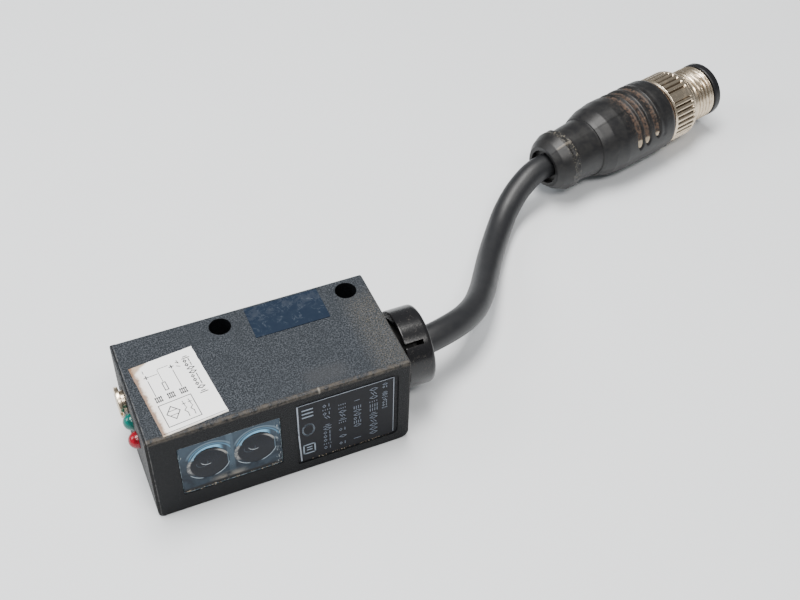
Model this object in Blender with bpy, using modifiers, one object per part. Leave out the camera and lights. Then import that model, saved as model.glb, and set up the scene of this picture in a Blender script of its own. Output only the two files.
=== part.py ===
"""Compact photoelectric sensor on a short cable with a moulded M12 plug.

The sensor lies on its wide side. +X runs along the body towards the cable gland, -Y is the way the
lenses look, +Z is up, and the origin is the centre of the underside. The plug lies beside the body on
the same surface, at the end of its cable. All sizes are in metres.
"""
import math

import bmesh
import bpy
from mathutils import Euler, Matrix, Vector

MM = 0.001

# Housing: a shell that is open at its -X end
BODY_LENGTH = 45.0 * MM
BODY_WIDTH = 22.4 * MM
BODY_HEIGHT = 19.8 * MM
WALL = 1.6 * MM
END_WALL = 2.2 * MM
CORNER_RADIUS = 1.0 * MM
BASE_CORNER_RADIUS = 1.4 * MM
EDGE_RADIUS = 0.35 * MM
END_MINUS = -BODY_LENGTH / 2
END_PLUS = BODY_LENGTH / 2
FRONT = -BODY_WIDTH / 2

# Two mounting holes run through the housing's height, near its back
HOLE_RADIUS = 1.9 * MM
HOLE_BOSS_RADIUS = 3.1 * MM
HOLE_Y = 8.35 * MM
HOLE_XS = (-4.35 * MM, 18.45 * MM)

# Clearances
GAP = 0.3 * MM
SMALL_GAP = 0.2 * MM
STICKER_GAP = 0.05 * MM

# Lens window in the front wall
WINDOW_X = (-17.95 * MM, -0.60 * MM)
WINDOW_Z = (4.1 * MM, 16.2 * MM)
WINDOW_DEPTH = 1.0 * MM
WINDOW_LEDGE_X = 0.42 * MM
WINDOW_LEDGE_Z = 1.1 * MM
LENS_RADIUS = 3.95 * MM
LENS_SAG = 1.1 * MM
LENS_XS = (-13.30 * MM, -5.25 * MM)
LENS_Z = 10.15 * MM

# Rating plate in its recess beside the window
PLATE_X = (2.2 * MM, 19.6 * MM)
PLATE_Z = (2.6 * MM, 17.4 * MM)
PLATE_BORDER = 0.4 * MM
PLATE_RECESS_DEPTH = 0.45 * MM
PLATE_THICKNESS = 0.3 * MM

# Stickers on the top
LABEL_SIZE = (11.0 * MM, 15.7 * MM)
LABEL_CENTRE = (-14.75 * MM, -2.55 * MM)
LABEL_TURN = math.radians(6.0)
LABEL_THICKNESS = 0.12 * MM
FILM_X = (0.5 * MM, 13.8 * MM)
FILM_Y = (3.5 * MM, 10.65 * MM)
FILM_THICKNESS = 0.08 * MM

# End cover with the two indicators and the sensitivity adjuster
COVER_FLANGE = 0.3 * MM
COVER_SPIGOT = 1.6 * MM
INDICATOR_Z = 12.0 * MM
RED_LED_Y = -3.5 * MM
GREEN_LED_Y = 0.55 * MM
LED_RADIUS = 1.45 * MM
LED_FLANGE_RADIUS = 1.6 * MM
RED_DOME_X = -22.77 * MM
GREEN_DOME_X = -22.63 * MM
ADJUSTER_Y = 5.3 * MM
ADJUSTER_HEAD_RADIUS = 2.7 * MM
ADJUSTER_SHAFT_RADIUS = 1.9 * MM
ADJUSTER_FRONT = -23.9 * MM

# Cable gland on the +X end
GLAND_Y = 0.2 * MM
GLAND_Z = 10.1 * MM
NECK_RADIUS = 5.7 * MM
NECK_BORE = 4.3 * MM
NECK_END = 26.6 * MM
CAP_RADIUS = 7.2 * MM
CAP_BORE = 5.95 * MM
CAP_X = (24.4 * MM, 29.5 * MM)
CAP_END_WALL = 1.6 * MM
CAP_RIM = 0.6 * MM
CAP_SLOT_WIDTH = 0.8 * MM
CAP_SLOT_END = 28.25 * MM
CAP_SLOT_ANGLE = math.radians(129.0)

# Cable, and the plug's axis on the surface
CABLE_RADIUS = 2.6 * MM
CABLE_HOLE = 2.9 * MM
CABLE_TAIL_X = (18.6 * MM, CAP_X[1] - 2 * GAP)
PLUG_ORIGIN = Vector((74.5, 37.5, 8.15)) * MM
PLUG_TURN = math.radians(13.8)
PLUG_DIRECTION = Vector((math.cos(PLUG_TURN), math.sin(PLUG_TURN), 0.0))
PLUG_CABLE_END = 0.9 * MM
CABLE_STEP = 1.6 * MM

# The cable's way: out of the gland, down to the surface, in an S, and up into the plug
CABLE_ROUTE = [
    Vector((CAP_X[1], GLAND_Y, GLAND_Z)),
    Vector((CAP_X[1] + 1.5 * MM, GLAND_Y + 0.1 * MM, GLAND_Z)),
    Vector((33.8, 1.0, 9.9)) * MM,
    Vector((37.4, 2.4, 9.3)) * MM,
    Vector((40.8, 4.4, 8.3)) * MM,
    Vector((44.3, 7.4, 7.1)) * MM,
    Vector((47.7, 11.6, 5.6)) * MM,
    Vector((50.8, 16.1, 4.3)) * MM,
    Vector((54.0, 20.8, 3.3)) * MM,
    Vector((57.0, 24.8, 2.9)) * MM,
    Vector((60.0, 28.5, 3.0)) * MM,
    Vector((63.2, 31.9, 4.0)) * MM,
    Vector((66.8, 34.5, 5.9)) * MM,
    Vector((70.6, 36.3, 7.6)) * MM,
    PLUG_ORIGIN - 1.2 * MM * PLUG_DIRECTION,
    PLUG_ORIGIN + PLUG_CABLE_END * PLUG_DIRECTION,
]

# Plug, measured along its axis from the face where the cable enters
GRIP_FRONT = 31.8 * MM
GRIP_RADIUS = 8.1 * MM
CARRIER_RADIUS = 4.1 * MM
CARRIER_BACK = 24.3 * MM
CARRIER_FACE = 41.0 * MM
CARRIER_FLANGE = (32.2 * MM, 33.4 * MM)
CARRIER_FLANGE_RADIUS = 5.6 * MM
PIN_RADIUS = 0.5 * MM
PIN_HOLE = 0.6 * MM
PIN_CIRCLE = 2.75 * MM
PIN_BACK = 27.0 * MM
PIN_TIP = 46.5 * MM
PIN_COUNT = 4
COUPLING_BACK = 32.4 * MM
KNURL_END = 39.0 * MM
COUPLING_END = 46.2 * MM
KNURL_RADIUS = 7.55 * MM
THREAD_RADIUS = 6.0 * MM
COUPLING_BORE = 4.7 * MM
RING_X = (46.4 * MM, 48.2 * MM)

# Inside the housing
BOARD_Y = (2.4 * MM, 3.4 * MM)
END_BOARD_X = (-18.8 * MM, -18.0 * MM)
WIRE_RADIUS = 0.5 * MM

ROUND_SIDES = 40
SMALL_SIDES = 20
SMOOTH_ANGLE = math.radians(35.0)
MERGE = 0.00001

COLLECTION_NAME = "photoelectric_sensor"


def clear_scene():
    for obj in list(bpy.data.objects):
        bpy.data.objects.remove(obj, do_unlink=True)


def new_collection(name):
    group = bpy.data.collections.new(name)
    bpy.context.scene.collection.children.link(group)
    return group


def material(name, colour, roughness, metallic=0.0, transmission=0.0):
    made = bpy.data.materials.new(name)
    made.use_nodes = True
    shader = made.node_tree.nodes["Principled BSDF"]
    shader.inputs["Base Color"].default_value = (*colour, 1.0)
    shader.inputs["Roughness"].default_value = roughness
    shader.inputs["Metallic"].default_value = metallic
    shader.inputs["Transmission Weight"].default_value = transmission
    return made


def add_object(name, data, look, group=None):
    """Put a mesh or curve in the model under the given name."""
    obj = bpy.data.objects.new(name, data)
    (group or PARTS).objects.link(obj)
    if look:
        data.materials.append(look)
    return obj


def cutter_of(obj):
    """Make an object a guide that shapes others and is not part of the model."""
    obj.hide_render = True
    obj.display_type = "WIRE"
    return obj


def boolean(obj, operation, other):
    modifier = obj.modifiers.new(operation.lower(), "BOOLEAN")
    modifier.operation = operation
    modifier.solver = "EXACT"
    modifier.object = other


def cut(obj, *others):
    for other in others:
        boolean(obj, "DIFFERENCE", other)


def join(obj, *others):
    for other in others:
        boolean(obj, "UNION", other)


def box(name, x, y, z, look=None, group=None, corner=0.0, corner_axis=2, corner_high=True):
    """A box between two limits on each axis; corner rounds the edges that run along corner_axis.

    Without corner_high, only the edges on its low side in Z are rounded.
    """
    low = Vector((x[0], y[0], z[0]))
    high = Vector((x[1], y[1], z[1]))
    shape = bmesh.new()
    bmesh.ops.create_cube(shape, size=1.0)
    bmesh.ops.scale(shape, vec=high - low, verts=shape.verts)
    if corner:
        edges = [e for e in shape.edges if abs((e.verts[0].co - e.verts[1].co)[corner_axis]) > MERGE]
        if not corner_high:
            edges = [e for e in edges if e.verts[0].co.z < 0.0]
        bmesh.ops.bevel(shape, geom=edges, offset=corner, segments=4, profile=0.5, affect="EDGES")
    mesh = bpy.data.meshes.new(name)
    shape.to_mesh(mesh)
    shape.free()
    obj = add_object(name, mesh, look, group)
    obj.location = (low + high) / 2
    return obj


def soften(obj, width, segments=2):
    """Round the sharp edges of a box."""
    modifier = obj.modifiers.new("soft edges", "BEVEL")
    modifier.width = width
    modifier.segments = segments
    modifier.limit_method = "ANGLE"
    modifier.angle_limit = math.radians(50.0)


def along_x(y, z):
    """A place whose heights run along +X."""
    return Matrix.Translation((0.0, y, z)) @ Euler((0.0, math.pi / 2, 0.0)).to_matrix().to_4x4()


def along_y(x, z):
    """A place whose heights run along +Y."""
    return Matrix.Translation((x, 0.0, z)) @ Euler((-math.pi / 2, 0.0, 0.0)).to_matrix().to_4x4()


def along_z(x, y):
    """A place whose heights run along +Z."""
    return Matrix.Translation((x, y, 0.0))


def along_plug():
    """A place whose heights run along the plug's axis."""
    return Matrix.Translation(PLUG_ORIGIN) @ Euler((0.0, math.pi / 2, PLUG_TURN)).to_matrix().to_4x4()


def turned(name, profile, place, look=None, group=None, closed=False, sides=ROUND_SIDES):
    """A turned piece: profile holds (radius, height) points down the outer side."""
    shape = bmesh.new()
    points = [shape.verts.new((radius, 0.0, height)) for radius, height in profile]
    for first, second in zip(points, points[1:]):
        shape.edges.new((first, second))
    if closed:
        shape.edges.new((points[-1], points[0]))
    outline = bpy.data.meshes.new(name + " outline")
    shape.to_mesh(outline)
    shape.free()
    guide = add_object(name + " outline", outline, None, group)
    screw = guide.modifiers.new("turn", "SCREW")
    screw.axis = "Z"
    screw.steps = sides
    screw.render_steps = sides
    screw.use_merge_vertices = True
    screw.merge_threshold = MERGE
    evaluated = guide.evaluated_get(bpy.context.evaluated_depsgraph_get())
    mesh = bpy.data.meshes.new_from_object(evaluated)
    mesh.name = name
    bpy.data.objects.remove(guide, do_unlink=True)
    shape = bmesh.new()
    shape.from_mesh(mesh)
    bmesh.ops.remove_doubles(shape, verts=shape.verts, dist=MERGE)
    bmesh.ops.recalc_face_normals(shape, faces=shape.faces)
    shape.to_mesh(mesh)
    shape.free()
    mesh.shade_smooth()
    mesh.set_sharp_from_angle(angle=SMOOTH_ANGLE)
    obj = add_object(name, mesh, look, group)
    obj.matrix_world = place
    return obj


def rod(name, radius, span, place, look=None, group=None, sides=ROUND_SIDES):
    low, high = span
    profile = [(0.0, high), (radius, high), (radius, low), (0.0, low)]
    return turned(name, profile, place, look, group, sides=sides)


def sleeve(name, outer, inner, span, place, look=None, group=None, sides=ROUND_SIDES):
    low, high = span
    profile = [(inner, high), (outer, high), (outer, low), (inner, low)]
    return turned(name, profile, place, look, group, closed=True, sides=sides)


def arc(centre_radius, centre_height, radius, start, end, steps):
    """Points of an arc in a profile, between two angles in degrees measured from the radius axis."""
    made = []
    for step in range(steps + 1):
        angle = math.radians(start + (end - start) * step / steps)
        made.append((centre_radius + radius * math.cos(angle), centre_height + radius * math.sin(angle)))
    return made


def smooth_way(route, spacing):
    """Points a given spacing apart on a Catmull-Rom curve through the route's own points."""
    ends = [2 * route[0] - route[1]] + list(route) + [2 * route[-1] - route[-2]]
    fine = []
    for a, b, c, d in zip(ends, ends[1:], ends[2:], ends[3:]):
        for step in range(20):
            t = step / 20
            fine.append(0.5 * ((2 * b) + (c - a) * t + (2 * a - 5 * b + 4 * c - d) * t ** 2
                               + (3 * b - a - 3 * c + d) * t ** 3))
    fine.append(route[-1].copy())
    length = sum((q - p).length for p, q in zip(fine, fine[1:]))
    count = max(2, round(length / spacing))
    points = [fine[0]]
    travelled = 0.0
    for p, q in zip(fine, fine[1:]):
        travelled += (q - p).length
        if travelled >= length * len(points) / count and len(points) < count:
            points.append(q)
    return points + [fine[-1]]


def strand(name, route, radius, spacing, look, resolution):
    """A round flexible strand with flat ends."""
    data = bpy.data.curves.new(name, "CURVE")
    data.dimensions = "3D"
    data.bevel_depth = radius
    data.bevel_resolution = resolution
    data.use_fill_caps = True
    spline = data.splines.new("POLY")
    points = smooth_way(route, spacing)
    spline.points.add(len(points) - 1)
    for target, point in zip(spline.points, points):
        target.co = (*point, 1.0)
    return add_object(name, data, look)


def make_housing():
    """The shell: mounting holes, lens window, plate recess and the neck for the gland cap."""
    shell = box("housing", (END_MINUS, END_PLUS), (FRONT, -FRONT), (0.0, BODY_HEIGHT), BLACK_PLASTIC,
                corner=BASE_CORNER_RADIUS, corner_axis=1, corner_high=False)
    soften(shell, EDGE_RADIUS)
    join(shell, cutter_of(rod("neck", NECK_RADIUS, (END_PLUS - WALL, NECK_END), along_x(GLAND_Y, GLAND_Z),
                              group=CUTTERS)))
    cavity = box("cavity", (END_MINUS - WALL, END_PLUS - END_WALL), (FRONT + WALL, -FRONT - WALL),
                 (WALL, BODY_HEIGHT - WALL), group=CUTTERS)
    for number, x in enumerate(HOLE_XS, 1):
        through = (-WALL, BODY_HEIGHT + WALL)
        cut(cavity, cutter_of(rod(f"boss_{number}", HOLE_BOSS_RADIUS, through, along_z(x, HOLE_Y), group=CUTTERS)))
    cut(shell, cutter_of(cavity))
    for number, x in enumerate(HOLE_XS, 1):
        cut(shell, cutter_of(rod(f"screw_hole_{number}", HOLE_RADIUS, through, along_z(x, HOLE_Y), group=CUTTERS,
                                 sides=32)))
    seat = box("window_seat", WINDOW_X, (FRONT - WALL, FRONT + WINDOW_DEPTH), WINDOW_Z, group=CUTTERS)
    opening_x = (WINDOW_X[0] + WINDOW_LEDGE_X, WINDOW_X[1] - WINDOW_LEDGE_X)
    opening_z = (WINDOW_Z[0] + WINDOW_LEDGE_Z, WINDOW_Z[1] - WINDOW_LEDGE_Z)
    opening = box("window_opening", opening_x, (FRONT - WALL, FRONT + 2 * WALL), opening_z, group=CUTTERS)
    recess_x = (PLATE_X[0] - PLATE_BORDER, PLATE_X[1] + PLATE_BORDER)
    recess_z = (PLATE_Z[0] - PLATE_BORDER, PLATE_Z[1] + PLATE_BORDER)
    recess = box("plate_recess", recess_x, (FRONT - WALL, FRONT + PLATE_RECESS_DEPTH), recess_z, group=CUTTERS,
                 corner=CORNER_RADIUS, corner_axis=1)
    bore = rod("neck_bore", NECK_BORE, (END_PLUS - 2 * END_WALL, NECK_END + WALL), along_x(GLAND_Y, GLAND_Z),
               group=CUTTERS)
    cut(shell, cutter_of(seat), cutter_of(opening), cutter_of(recess), cutter_of(bore))


def make_end_cover():
    """A thin flange on a spigot that fills the open end, with holes for the indicators and adjuster."""
    flange_x = (END_MINUS - SMALL_GAP - COVER_FLANGE, END_MINUS - SMALL_GAP)
    inset = 0.1 * MM
    cover = box("end_cover", flange_x, (FRONT + inset, -FRONT - inset), (inset, BODY_HEIGHT - inset), BLACK_PLASTIC,
                corner=EDGE_RADIUS, corner_axis=0)
    fit = WALL + SMALL_GAP
    spigot = box("spigot", (flange_x[1] - COVER_FLANGE / 2, END_MINUS + COVER_SPIGOT),
                 (FRONT + fit, -FRONT - fit), (fit, BODY_HEIGHT - fit), group=CUTTERS)
    join(cover, cutter_of(spigot))
    through = (flange_x[0] - WALL, END_MINUS + COVER_SPIGOT + WALL)
    hole_radius = LED_RADIUS + 0.15 * MM
    for name, y in (("red_hole", RED_LED_Y), ("green_hole", GREEN_LED_Y)):
        cut(cover, cutter_of(rod(name, hole_radius, through, along_x(y, INDICATOR_Z), group=CUTTERS,
                                 sides=SMALL_SIDES)))
    shaft_hole = rod("shaft_hole", ADJUSTER_SHAFT_RADIUS + 0.25 * MM, through, along_x(ADJUSTER_Y, INDICATOR_Z),
                     group=CUTTERS)
    seal_seat = rod("seal_seat", 2.8 * MM, (-22.2 * MM, through[1]), along_x(ADJUSTER_Y, INDICATOR_Z),
                    group=CUTTERS)
    cut(cover, cutter_of(shaft_hole), cutter_of(seal_seat))


def make_lens_plate():
    """A clear plate in the window; each lens bulges from its back towards the inside."""
    edge = 0.15 * MM
    front = FRONT + 0.1 * MM
    back = FRONT + WINDOW_DEPTH - SMALL_GAP
    plate = box("lens_plate", (WINDOW_X[0] + edge, WINDOW_X[1] - edge), (front, back),
                (WINDOW_Z[0] + edge, WINDOW_Z[1] - edge), CLEAR_PLASTIC)
    sphere = (LENS_RADIUS ** 2 + LENS_SAG ** 2) / (2 * LENS_SAG)
    half = math.degrees(math.asin(LENS_RADIUS / sphere))
    for number, x in enumerate(LENS_XS, 1):
        bulge = arc(0.0, back + LENS_SAG - sphere, sphere, 90.0, 90.0 - half, 6)
        bulge[0] = (0.0, bulge[0][1])
        profile = bulge + [(LENS_RADIUS, back - 0.3 * MM), (0.0, back - 0.3 * MM)]
        join(plate, cutter_of(turned(f"lens_{number}", profile, along_y(x, LENS_Z), group=CUTTERS)))


def make_optics():
    """A block with a conical light tube behind each lens, and the two optical components."""
    block_y = (-9.1 * MM, BOARD_Y[0] - GAP)
    block = box("optics_holder", (-17.5 * MM, -1.05 * MM), block_y, (4.6 * MM, 15.6 * MM), BLACK_PLASTIC)
    for number, x in enumerate(LENS_XS, 1):
        cone = [(0.0, block_y[1] + WALL), (2.3 * MM, block_y[1] + WALL), (3.75 * MM, block_y[0] - WALL),
                (0.0, block_y[0] - WALL)]
        cut(block, cutter_of(turned(f"light_tube_{number}", cone, along_y(x, LENS_Z), group=CUTTERS,
                                    sides=32)))
    half = 1.4 * MM
    seat = BOARD_Y[0] - 0.1 * MM
    emitter = box("emitter_led", (LENS_XS[0] - half, LENS_XS[0] + half), (seat - 0.9 * MM, seat),
                  (LENS_Z - half, LENS_Z + half), BOARD_WHITE)
    dome_radius = 1.1 * MM
    dome = arc(0.0, 0.0, dome_radius, 0.0, -90.0, 6)
    dome[-1] = (0.0, -dome_radius)
    dome_profile = [(0.0, 0.3 * MM), (dome_radius, 0.3 * MM)] + dome
    dome_profile = [(radius, height + seat - 0.9 * MM) for radius, height in dome_profile]
    join(emitter, cutter_of(turned("emitter_dome", dome_profile, along_y(LENS_XS[0], LENS_Z), group=CUTTERS,
                                   sides=SMALL_SIDES)))
    half = 1.5 * MM
    box("receiver_photodiode", (LENS_XS[1] - half, LENS_XS[1] + half), (seat - 1.2 * MM, seat),
        (LENS_Z - half, LENS_Z + half), CHIP_BLACK)


def make_electronics():
    """The main board behind the optics, the small end board, and the components on them."""
    box("main_board", (-17.6 * MM, 17.6 * MM), BOARD_Y, (2.2 * MM, 17.6 * MM), BOARD_GREEN)
    box("end_board", END_BOARD_X, (-8.6 * MM, 8.8 * MM), (3.4 * MM, 16.4 * MM), BOARD_GREEN)
    face = BOARD_Y[0] - 0.1 * MM
    box("controller_chip", (2.5 * MM, 8.5 * MM), (face - 1.5 * MM, face), (4.0 * MM, 9.0 * MM), CHIP_BLACK)
    box("output_transistor", (10.2 * MM, 13.8 * MM), (face - 1.4 * MM, face), (12.8 * MM, 16.3 * MM), CHIP_BLACK)
    box("protection_diode", (10.4 * MM, 13.2 * MM), (face - 1.1 * MM, face), (3.4 * MM, 5.2 * MM), CHIP_BLACK)
    radius = 2.5 * MM
    rod("capacitor", radius, (2.6 * MM, 8.6 * MM), along_x(face - radius, 13.6 * MM), TIN, sides=SMALL_SIDES)
    back = BOARD_Y[1] + 0.1 * MM
    can = box("shield_can", (-15.5 * MM, -8.4 * MM), (back, back + 2.6 * MM), (5.4 * MM, 14.6 * MM), TIN)
    sheet = 0.3 * MM
    cut(can, cutter_of(box("can_hollow", (-15.5 * MM + sheet, -8.4 * MM - sheet),
                           (back - WALL, back + 2.6 * MM - sheet), (5.4 * MM + sheet, 14.6 * MM - sheet),
                           group=CUTTERS)))


def make_indicators():
    """Two 3 mm lamps that stand on the end board and look out of the cover."""
    base = END_BOARD_X[0] - 0.15 * MM
    shoulder = base - 1.0 * MM
    for name, y, dome_x, look in (("red_led", RED_LED_Y, RED_DOME_X, LED_RED),
                                  ("green_led", GREEN_LED_Y, GREEN_DOME_X, LED_GREEN)):
        dome = arc(0.0, dome_x, LED_RADIUS, 0.0, -90.0, 6)
        dome[-1] = (0.0, dome_x - LED_RADIUS)
        profile = [(0.0, base), (LED_FLANGE_RADIUS, base), (LED_FLANGE_RADIUS, shoulder), (LED_RADIUS, shoulder)]
        turned(name, profile + dome, along_x(y, INDICATOR_Z), look, sides=SMALL_SIDES)


def make_adjuster():
    """The potentiometer on the end board, its seal, and the screw that sticks out of the cover."""
    place = along_x(ADJUSTER_Y, INDICATOR_Z)
    pot_front = -20.9 * MM
    pot = [(0.0, END_BOARD_X[0] - 0.15 * MM), (2.85 * MM, END_BOARD_X[0] - 0.15 * MM), (2.85 * MM, pot_front),
           (2.2 * MM, pot_front), (2.2 * MM, -19.6 * MM), (0.0, -19.6 * MM)]
    turned("potentiometer", pot, place, CHIP_BLUE, sides=32)
    sleeve("adjuster_seal", 2.65 * MM, ADJUSTER_SHAFT_RADIUS + 0.1 * MM, (-22.0 * MM, -21.2 * MM), place, RUBBER,
           sides=32)
    head_back = ADJUSTER_FRONT + 0.7 * MM
    rim = 0.12 * MM
    screw = turned("adjuster_screw", [
        (0.0, -19.9 * MM), (ADJUSTER_SHAFT_RADIUS, -19.9 * MM), (ADJUSTER_SHAFT_RADIUS, head_back),
        (ADJUSTER_HEAD_RADIUS, head_back), (ADJUSTER_HEAD_RADIUS, ADJUSTER_FRONT + rim),
        (ADJUSTER_HEAD_RADIUS - rim, ADJUSTER_FRONT), (0.0, ADJUSTER_FRONT)], place, NICKEL)
    reach = ADJUSTER_HEAD_RADIUS + MM
    cut(screw, cutter_of(box("driver_slot", (ADJUSTER_FRONT - MM, ADJUSTER_FRONT + 0.4 * MM),
                             (ADJUSTER_Y - reach, ADJUSTER_Y + reach),
                             (INDICATOR_Z - 0.4 * MM, INDICATOR_Z + 0.4 * MM), group=CUTTERS)))


def make_plates_and_stickers():
    face = FRONT + PLATE_RECESS_DEPTH - STICKER_GAP
    box("rating_plate", PLATE_X, (face - PLATE_THICKNESS, face), PLATE_Z, PLATE_BLACK, corner=0.3 * MM, corner_axis=1)
    base = BODY_HEIGHT + STICKER_GAP
    half_x, half_y = LABEL_SIZE[0] / 2, LABEL_SIZE[1] / 2
    label = box("wiring_label", (-half_x, half_x), (-half_y, half_y), (base, base + LABEL_THICKNESS), PAPER)
    label.location.x = LABEL_CENTRE[0]
    label.location.y = LABEL_CENTRE[1]
    label.rotation_euler.z = LABEL_TURN
    box("film_patch", FILM_X, FILM_Y, (base, base + FILM_THICKNESS), FILM_DARK)


def make_gland():
    """The slotted cap on the housing's neck, the seal inside it, and the cable's inner end."""
    place = along_x(GLAND_Y, GLAND_Z)
    cap = turned("gland_cap", [
        (CABLE_HOLE, CAP_X[1]), (CAP_RADIUS - CAP_RIM, CAP_X[1])]
        + arc(CAP_RADIUS - CAP_RIM, CAP_X[1] - CAP_RIM, CAP_RIM, 72.0, 0.0, 4)
        + [(CAP_RADIUS, CAP_X[0]), (CAP_BORE, CAP_X[0]), (CAP_BORE, CAP_X[1] - CAP_END_WALL),
           (CABLE_HOLE, CAP_X[1] - CAP_END_WALL)], place, GLAND_BLACK, closed=True, sides=48)
    for number in range(2):
        slot = box(f"cap_slot_{number + 1}", (CAP_X[0] - MM, CAP_SLOT_END), (CAP_RADIUS - 3 * MM, CAP_RADIUS + MM),
                   (-CAP_SLOT_WIDTH / 2, CAP_SLOT_WIDTH / 2), group=CUTTERS)
        turn = Matrix.Rotation(CAP_SLOT_ANGLE + number * math.pi, 4, "X")
        slot.matrix_world = Matrix.Translation((0.0, GLAND_Y, GLAND_Z)) @ turn @ Matrix.Translation(slot.location)
        cut(cap, cutter_of(slot))
    sleeve("cable_seal", NECK_BORE - 0.15 * MM, CABLE_RADIUS + 0.12 * MM, (20.6 * MM, 27.4 * MM), place, RUBBER,
           sides=32)
    rod("cable_tail", CABLE_RADIUS, CABLE_TAIL_X, place, CABLE_BLACK, sides=SMALL_SIDES)


def make_wires():
    """Three core wires from the cable's inner end to their pads on the main board."""
    pads = {"wire_brown": (WIRE_BROWN, 6.6 * MM, 90.0), "wire_black": (CHIP_BLACK, 10.1 * MM, 210.0),
            "wire_blue": (WIRE_BLUE, 11.6 * MM, 330.0)}
    start_x = CABLE_TAIL_X[0] - GAP
    for name, (look, pad_z, angle) in pads.items():
        y = GLAND_Y + 1.2 * MM * math.cos(math.radians(angle))
        z = GLAND_Z + 1.2 * MM * math.sin(math.radians(angle))
        route = [Vector((start_x, y, z)), Vector((start_x - 0.9 * MM, y - 0.2 * MM, z)),
                 Vector((start_x - 2.2 * MM, y - 0.9 * MM, (z + pad_z) / 2)),
                 Vector((15.0 * MM, -0.4 * MM, pad_z)), Vector((14.6 * MM, 0.8 * MM, pad_z)),
                 Vector((14.6 * MM, BOARD_Y[0] - SMALL_GAP, pad_z))]
        strand(name, route, WIRE_RADIUS, 0.6 * MM, look, 1)


def make_cable():
    strand("cable", CABLE_ROUTE, CABLE_RADIUS, CABLE_STEP, CABLE_BLACK, 4)


def make_plug():
    """The moulded grip, the contact carrier with its pins, and the coupling screw that turns on it."""
    place = along_plug()
    pocket = 3.6 * MM
    socket = CARRIER_RADIUS + 0.25 * MM
    turned("plug_grip", [
        (0.0, CARRIER_BACK - GAP), (socket, CARRIER_BACK - GAP), (socket, GRIP_FRONT), (7.7 * MM, GRIP_FRONT),
        (8.0 * MM, 31.4 * MM), (GRIP_RADIUS, 30.0 * MM), (GRIP_RADIUS, 17.0 * MM), (8.0 * MM, 16.0 * MM),
        (7.65 * MM, 14.4 * MM), (7.05 * MM, 12.7 * MM), (6.6 * MM, 11.4 * MM), (5.85 * MM, 5.4 * MM),
        (6.35 * MM, 4.9 * MM), (6.35 * MM, 3.4 * MM), (5.5 * MM, 1.3 * MM), (4.4 * MM, 0.0), (pocket, 0.0),
        (pocket, PLUG_CABLE_END - GAP + 0.6 * MM), (0.0, PLUG_CABLE_END - GAP + 0.6 * MM)], place, GRIP_BLACK,
        sides=48)
    carrier = turned("contact_carrier", [
        (0.0, CARRIER_FACE), (CARRIER_RADIUS, CARRIER_FACE), (CARRIER_RADIUS, CARRIER_FLANGE[1]),
        (CARRIER_FLANGE_RADIUS, CARRIER_FLANGE[1]), (CARRIER_FLANGE_RADIUS, CARRIER_FLANGE[0]),
        (CARRIER_RADIUS, CARRIER_FLANGE[0]), (CARRIER_RADIUS, CARRIER_BACK), (0.0, CARRIER_BACK)], place,
        GLAND_BLACK)
    for number in range(1, PIN_COUNT + 1):
        angle = 2 * math.pi * number / PIN_COUNT
        offset = Matrix.Translation((PIN_CIRCLE * math.cos(angle), PIN_CIRCLE * math.sin(angle), 0.0))
        cut(carrier, cutter_of(rod(f"pin_hole_{number}", PIN_HOLE, (PIN_BACK - MM, CARRIER_FACE + MM),
                                   place @ offset, group=CUTTERS, sides=16)))
        tip = arc(0.0, PIN_TIP - PIN_RADIUS, PIN_RADIUS, 90.0, 0.0, 4)
        tip[0] = (0.0, PIN_TIP)
        turned(f"contact_pin_{number}", tip + [(PIN_RADIUS, PIN_BACK), (0.0, PIN_BACK)], place @ offset, GOLD,
               sides=16)
    wide_bore = CARRIER_FLANGE_RADIUS + 0.3 * MM
    step = CARRIER_FLANGE[1] + GAP
    neck = 6.35 * MM
    turned("coupling_screw", [
        (COUPLING_BORE, COUPLING_END), (THREAD_RADIUS - 0.4 * MM, COUPLING_END),
        (THREAD_RADIUS, COUPLING_END - 0.4 * MM), (THREAD_RADIUS, KNURL_END + 1.6 * MM),
        (neck, KNURL_END + 1.2 * MM), (neck, KNURL_END), (KNURL_RADIUS - 0.3 * MM, KNURL_END),
        (KNURL_RADIUS, KNURL_END - 0.3 * MM), (KNURL_RADIUS, COUPLING_BACK + 0.3 * MM),
        (KNURL_RADIUS - 0.3 * MM, COUPLING_BACK), (wide_bore, COUPLING_BACK), (wide_bore, step),
        (COUPLING_BORE, step)], place, NICKEL, closed=True, sides=48)
    sleeve("end_ring", THREAD_RADIUS + 0.05 * MM, COUPLING_BORE + 0.05 * MM, RING_X, place, RUBBER, sides=48)


clear_scene()
PARTS = new_collection(COLLECTION_NAME)
CUTTERS = new_collection("cutters")
BLACK_PLASTIC = material("black plastic", (0.045, 0.047, 0.05), 0.55)
GLAND_BLACK = material("gland black", (0.02, 0.02, 0.022), 0.35)
GRIP_BLACK = material("grip black", (0.035, 0.034, 0.033), 0.45)
CABLE_BLACK = material("cable black", (0.03, 0.03, 0.032), 0.6)
RUBBER = material("rubber", (0.012, 0.012, 0.012), 0.7)
CLEAR_PLASTIC = material("clear plastic", (0.8, 0.86, 0.9), 0.08, transmission=0.9)
PLATE_BLACK = material("plate black", (0.012, 0.012, 0.016), 0.3)
PAPER = material("label white", (0.86, 0.86, 0.84), 0.5)
FILM_DARK = material("film dark", (0.03, 0.035, 0.045), 0.2)
NICKEL = material("nickel", (0.72, 0.68, 0.6), 0.3, metallic=1.0)
TIN = material("tin", (0.6, 0.6, 0.6), 0.4, metallic=1.0)
GOLD = material("gold contact", (0.83, 0.62, 0.27), 0.25, metallic=1.0)
LED_RED = material("red lamp", (0.55, 0.01, 0.02), 0.15, transmission=0.3)
LED_GREEN = material("green lamp", (0.0, 0.32, 0.27), 0.15, transmission=0.3)
BOARD_GREEN = material("board green", (0.02, 0.13, 0.05), 0.4)
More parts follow.
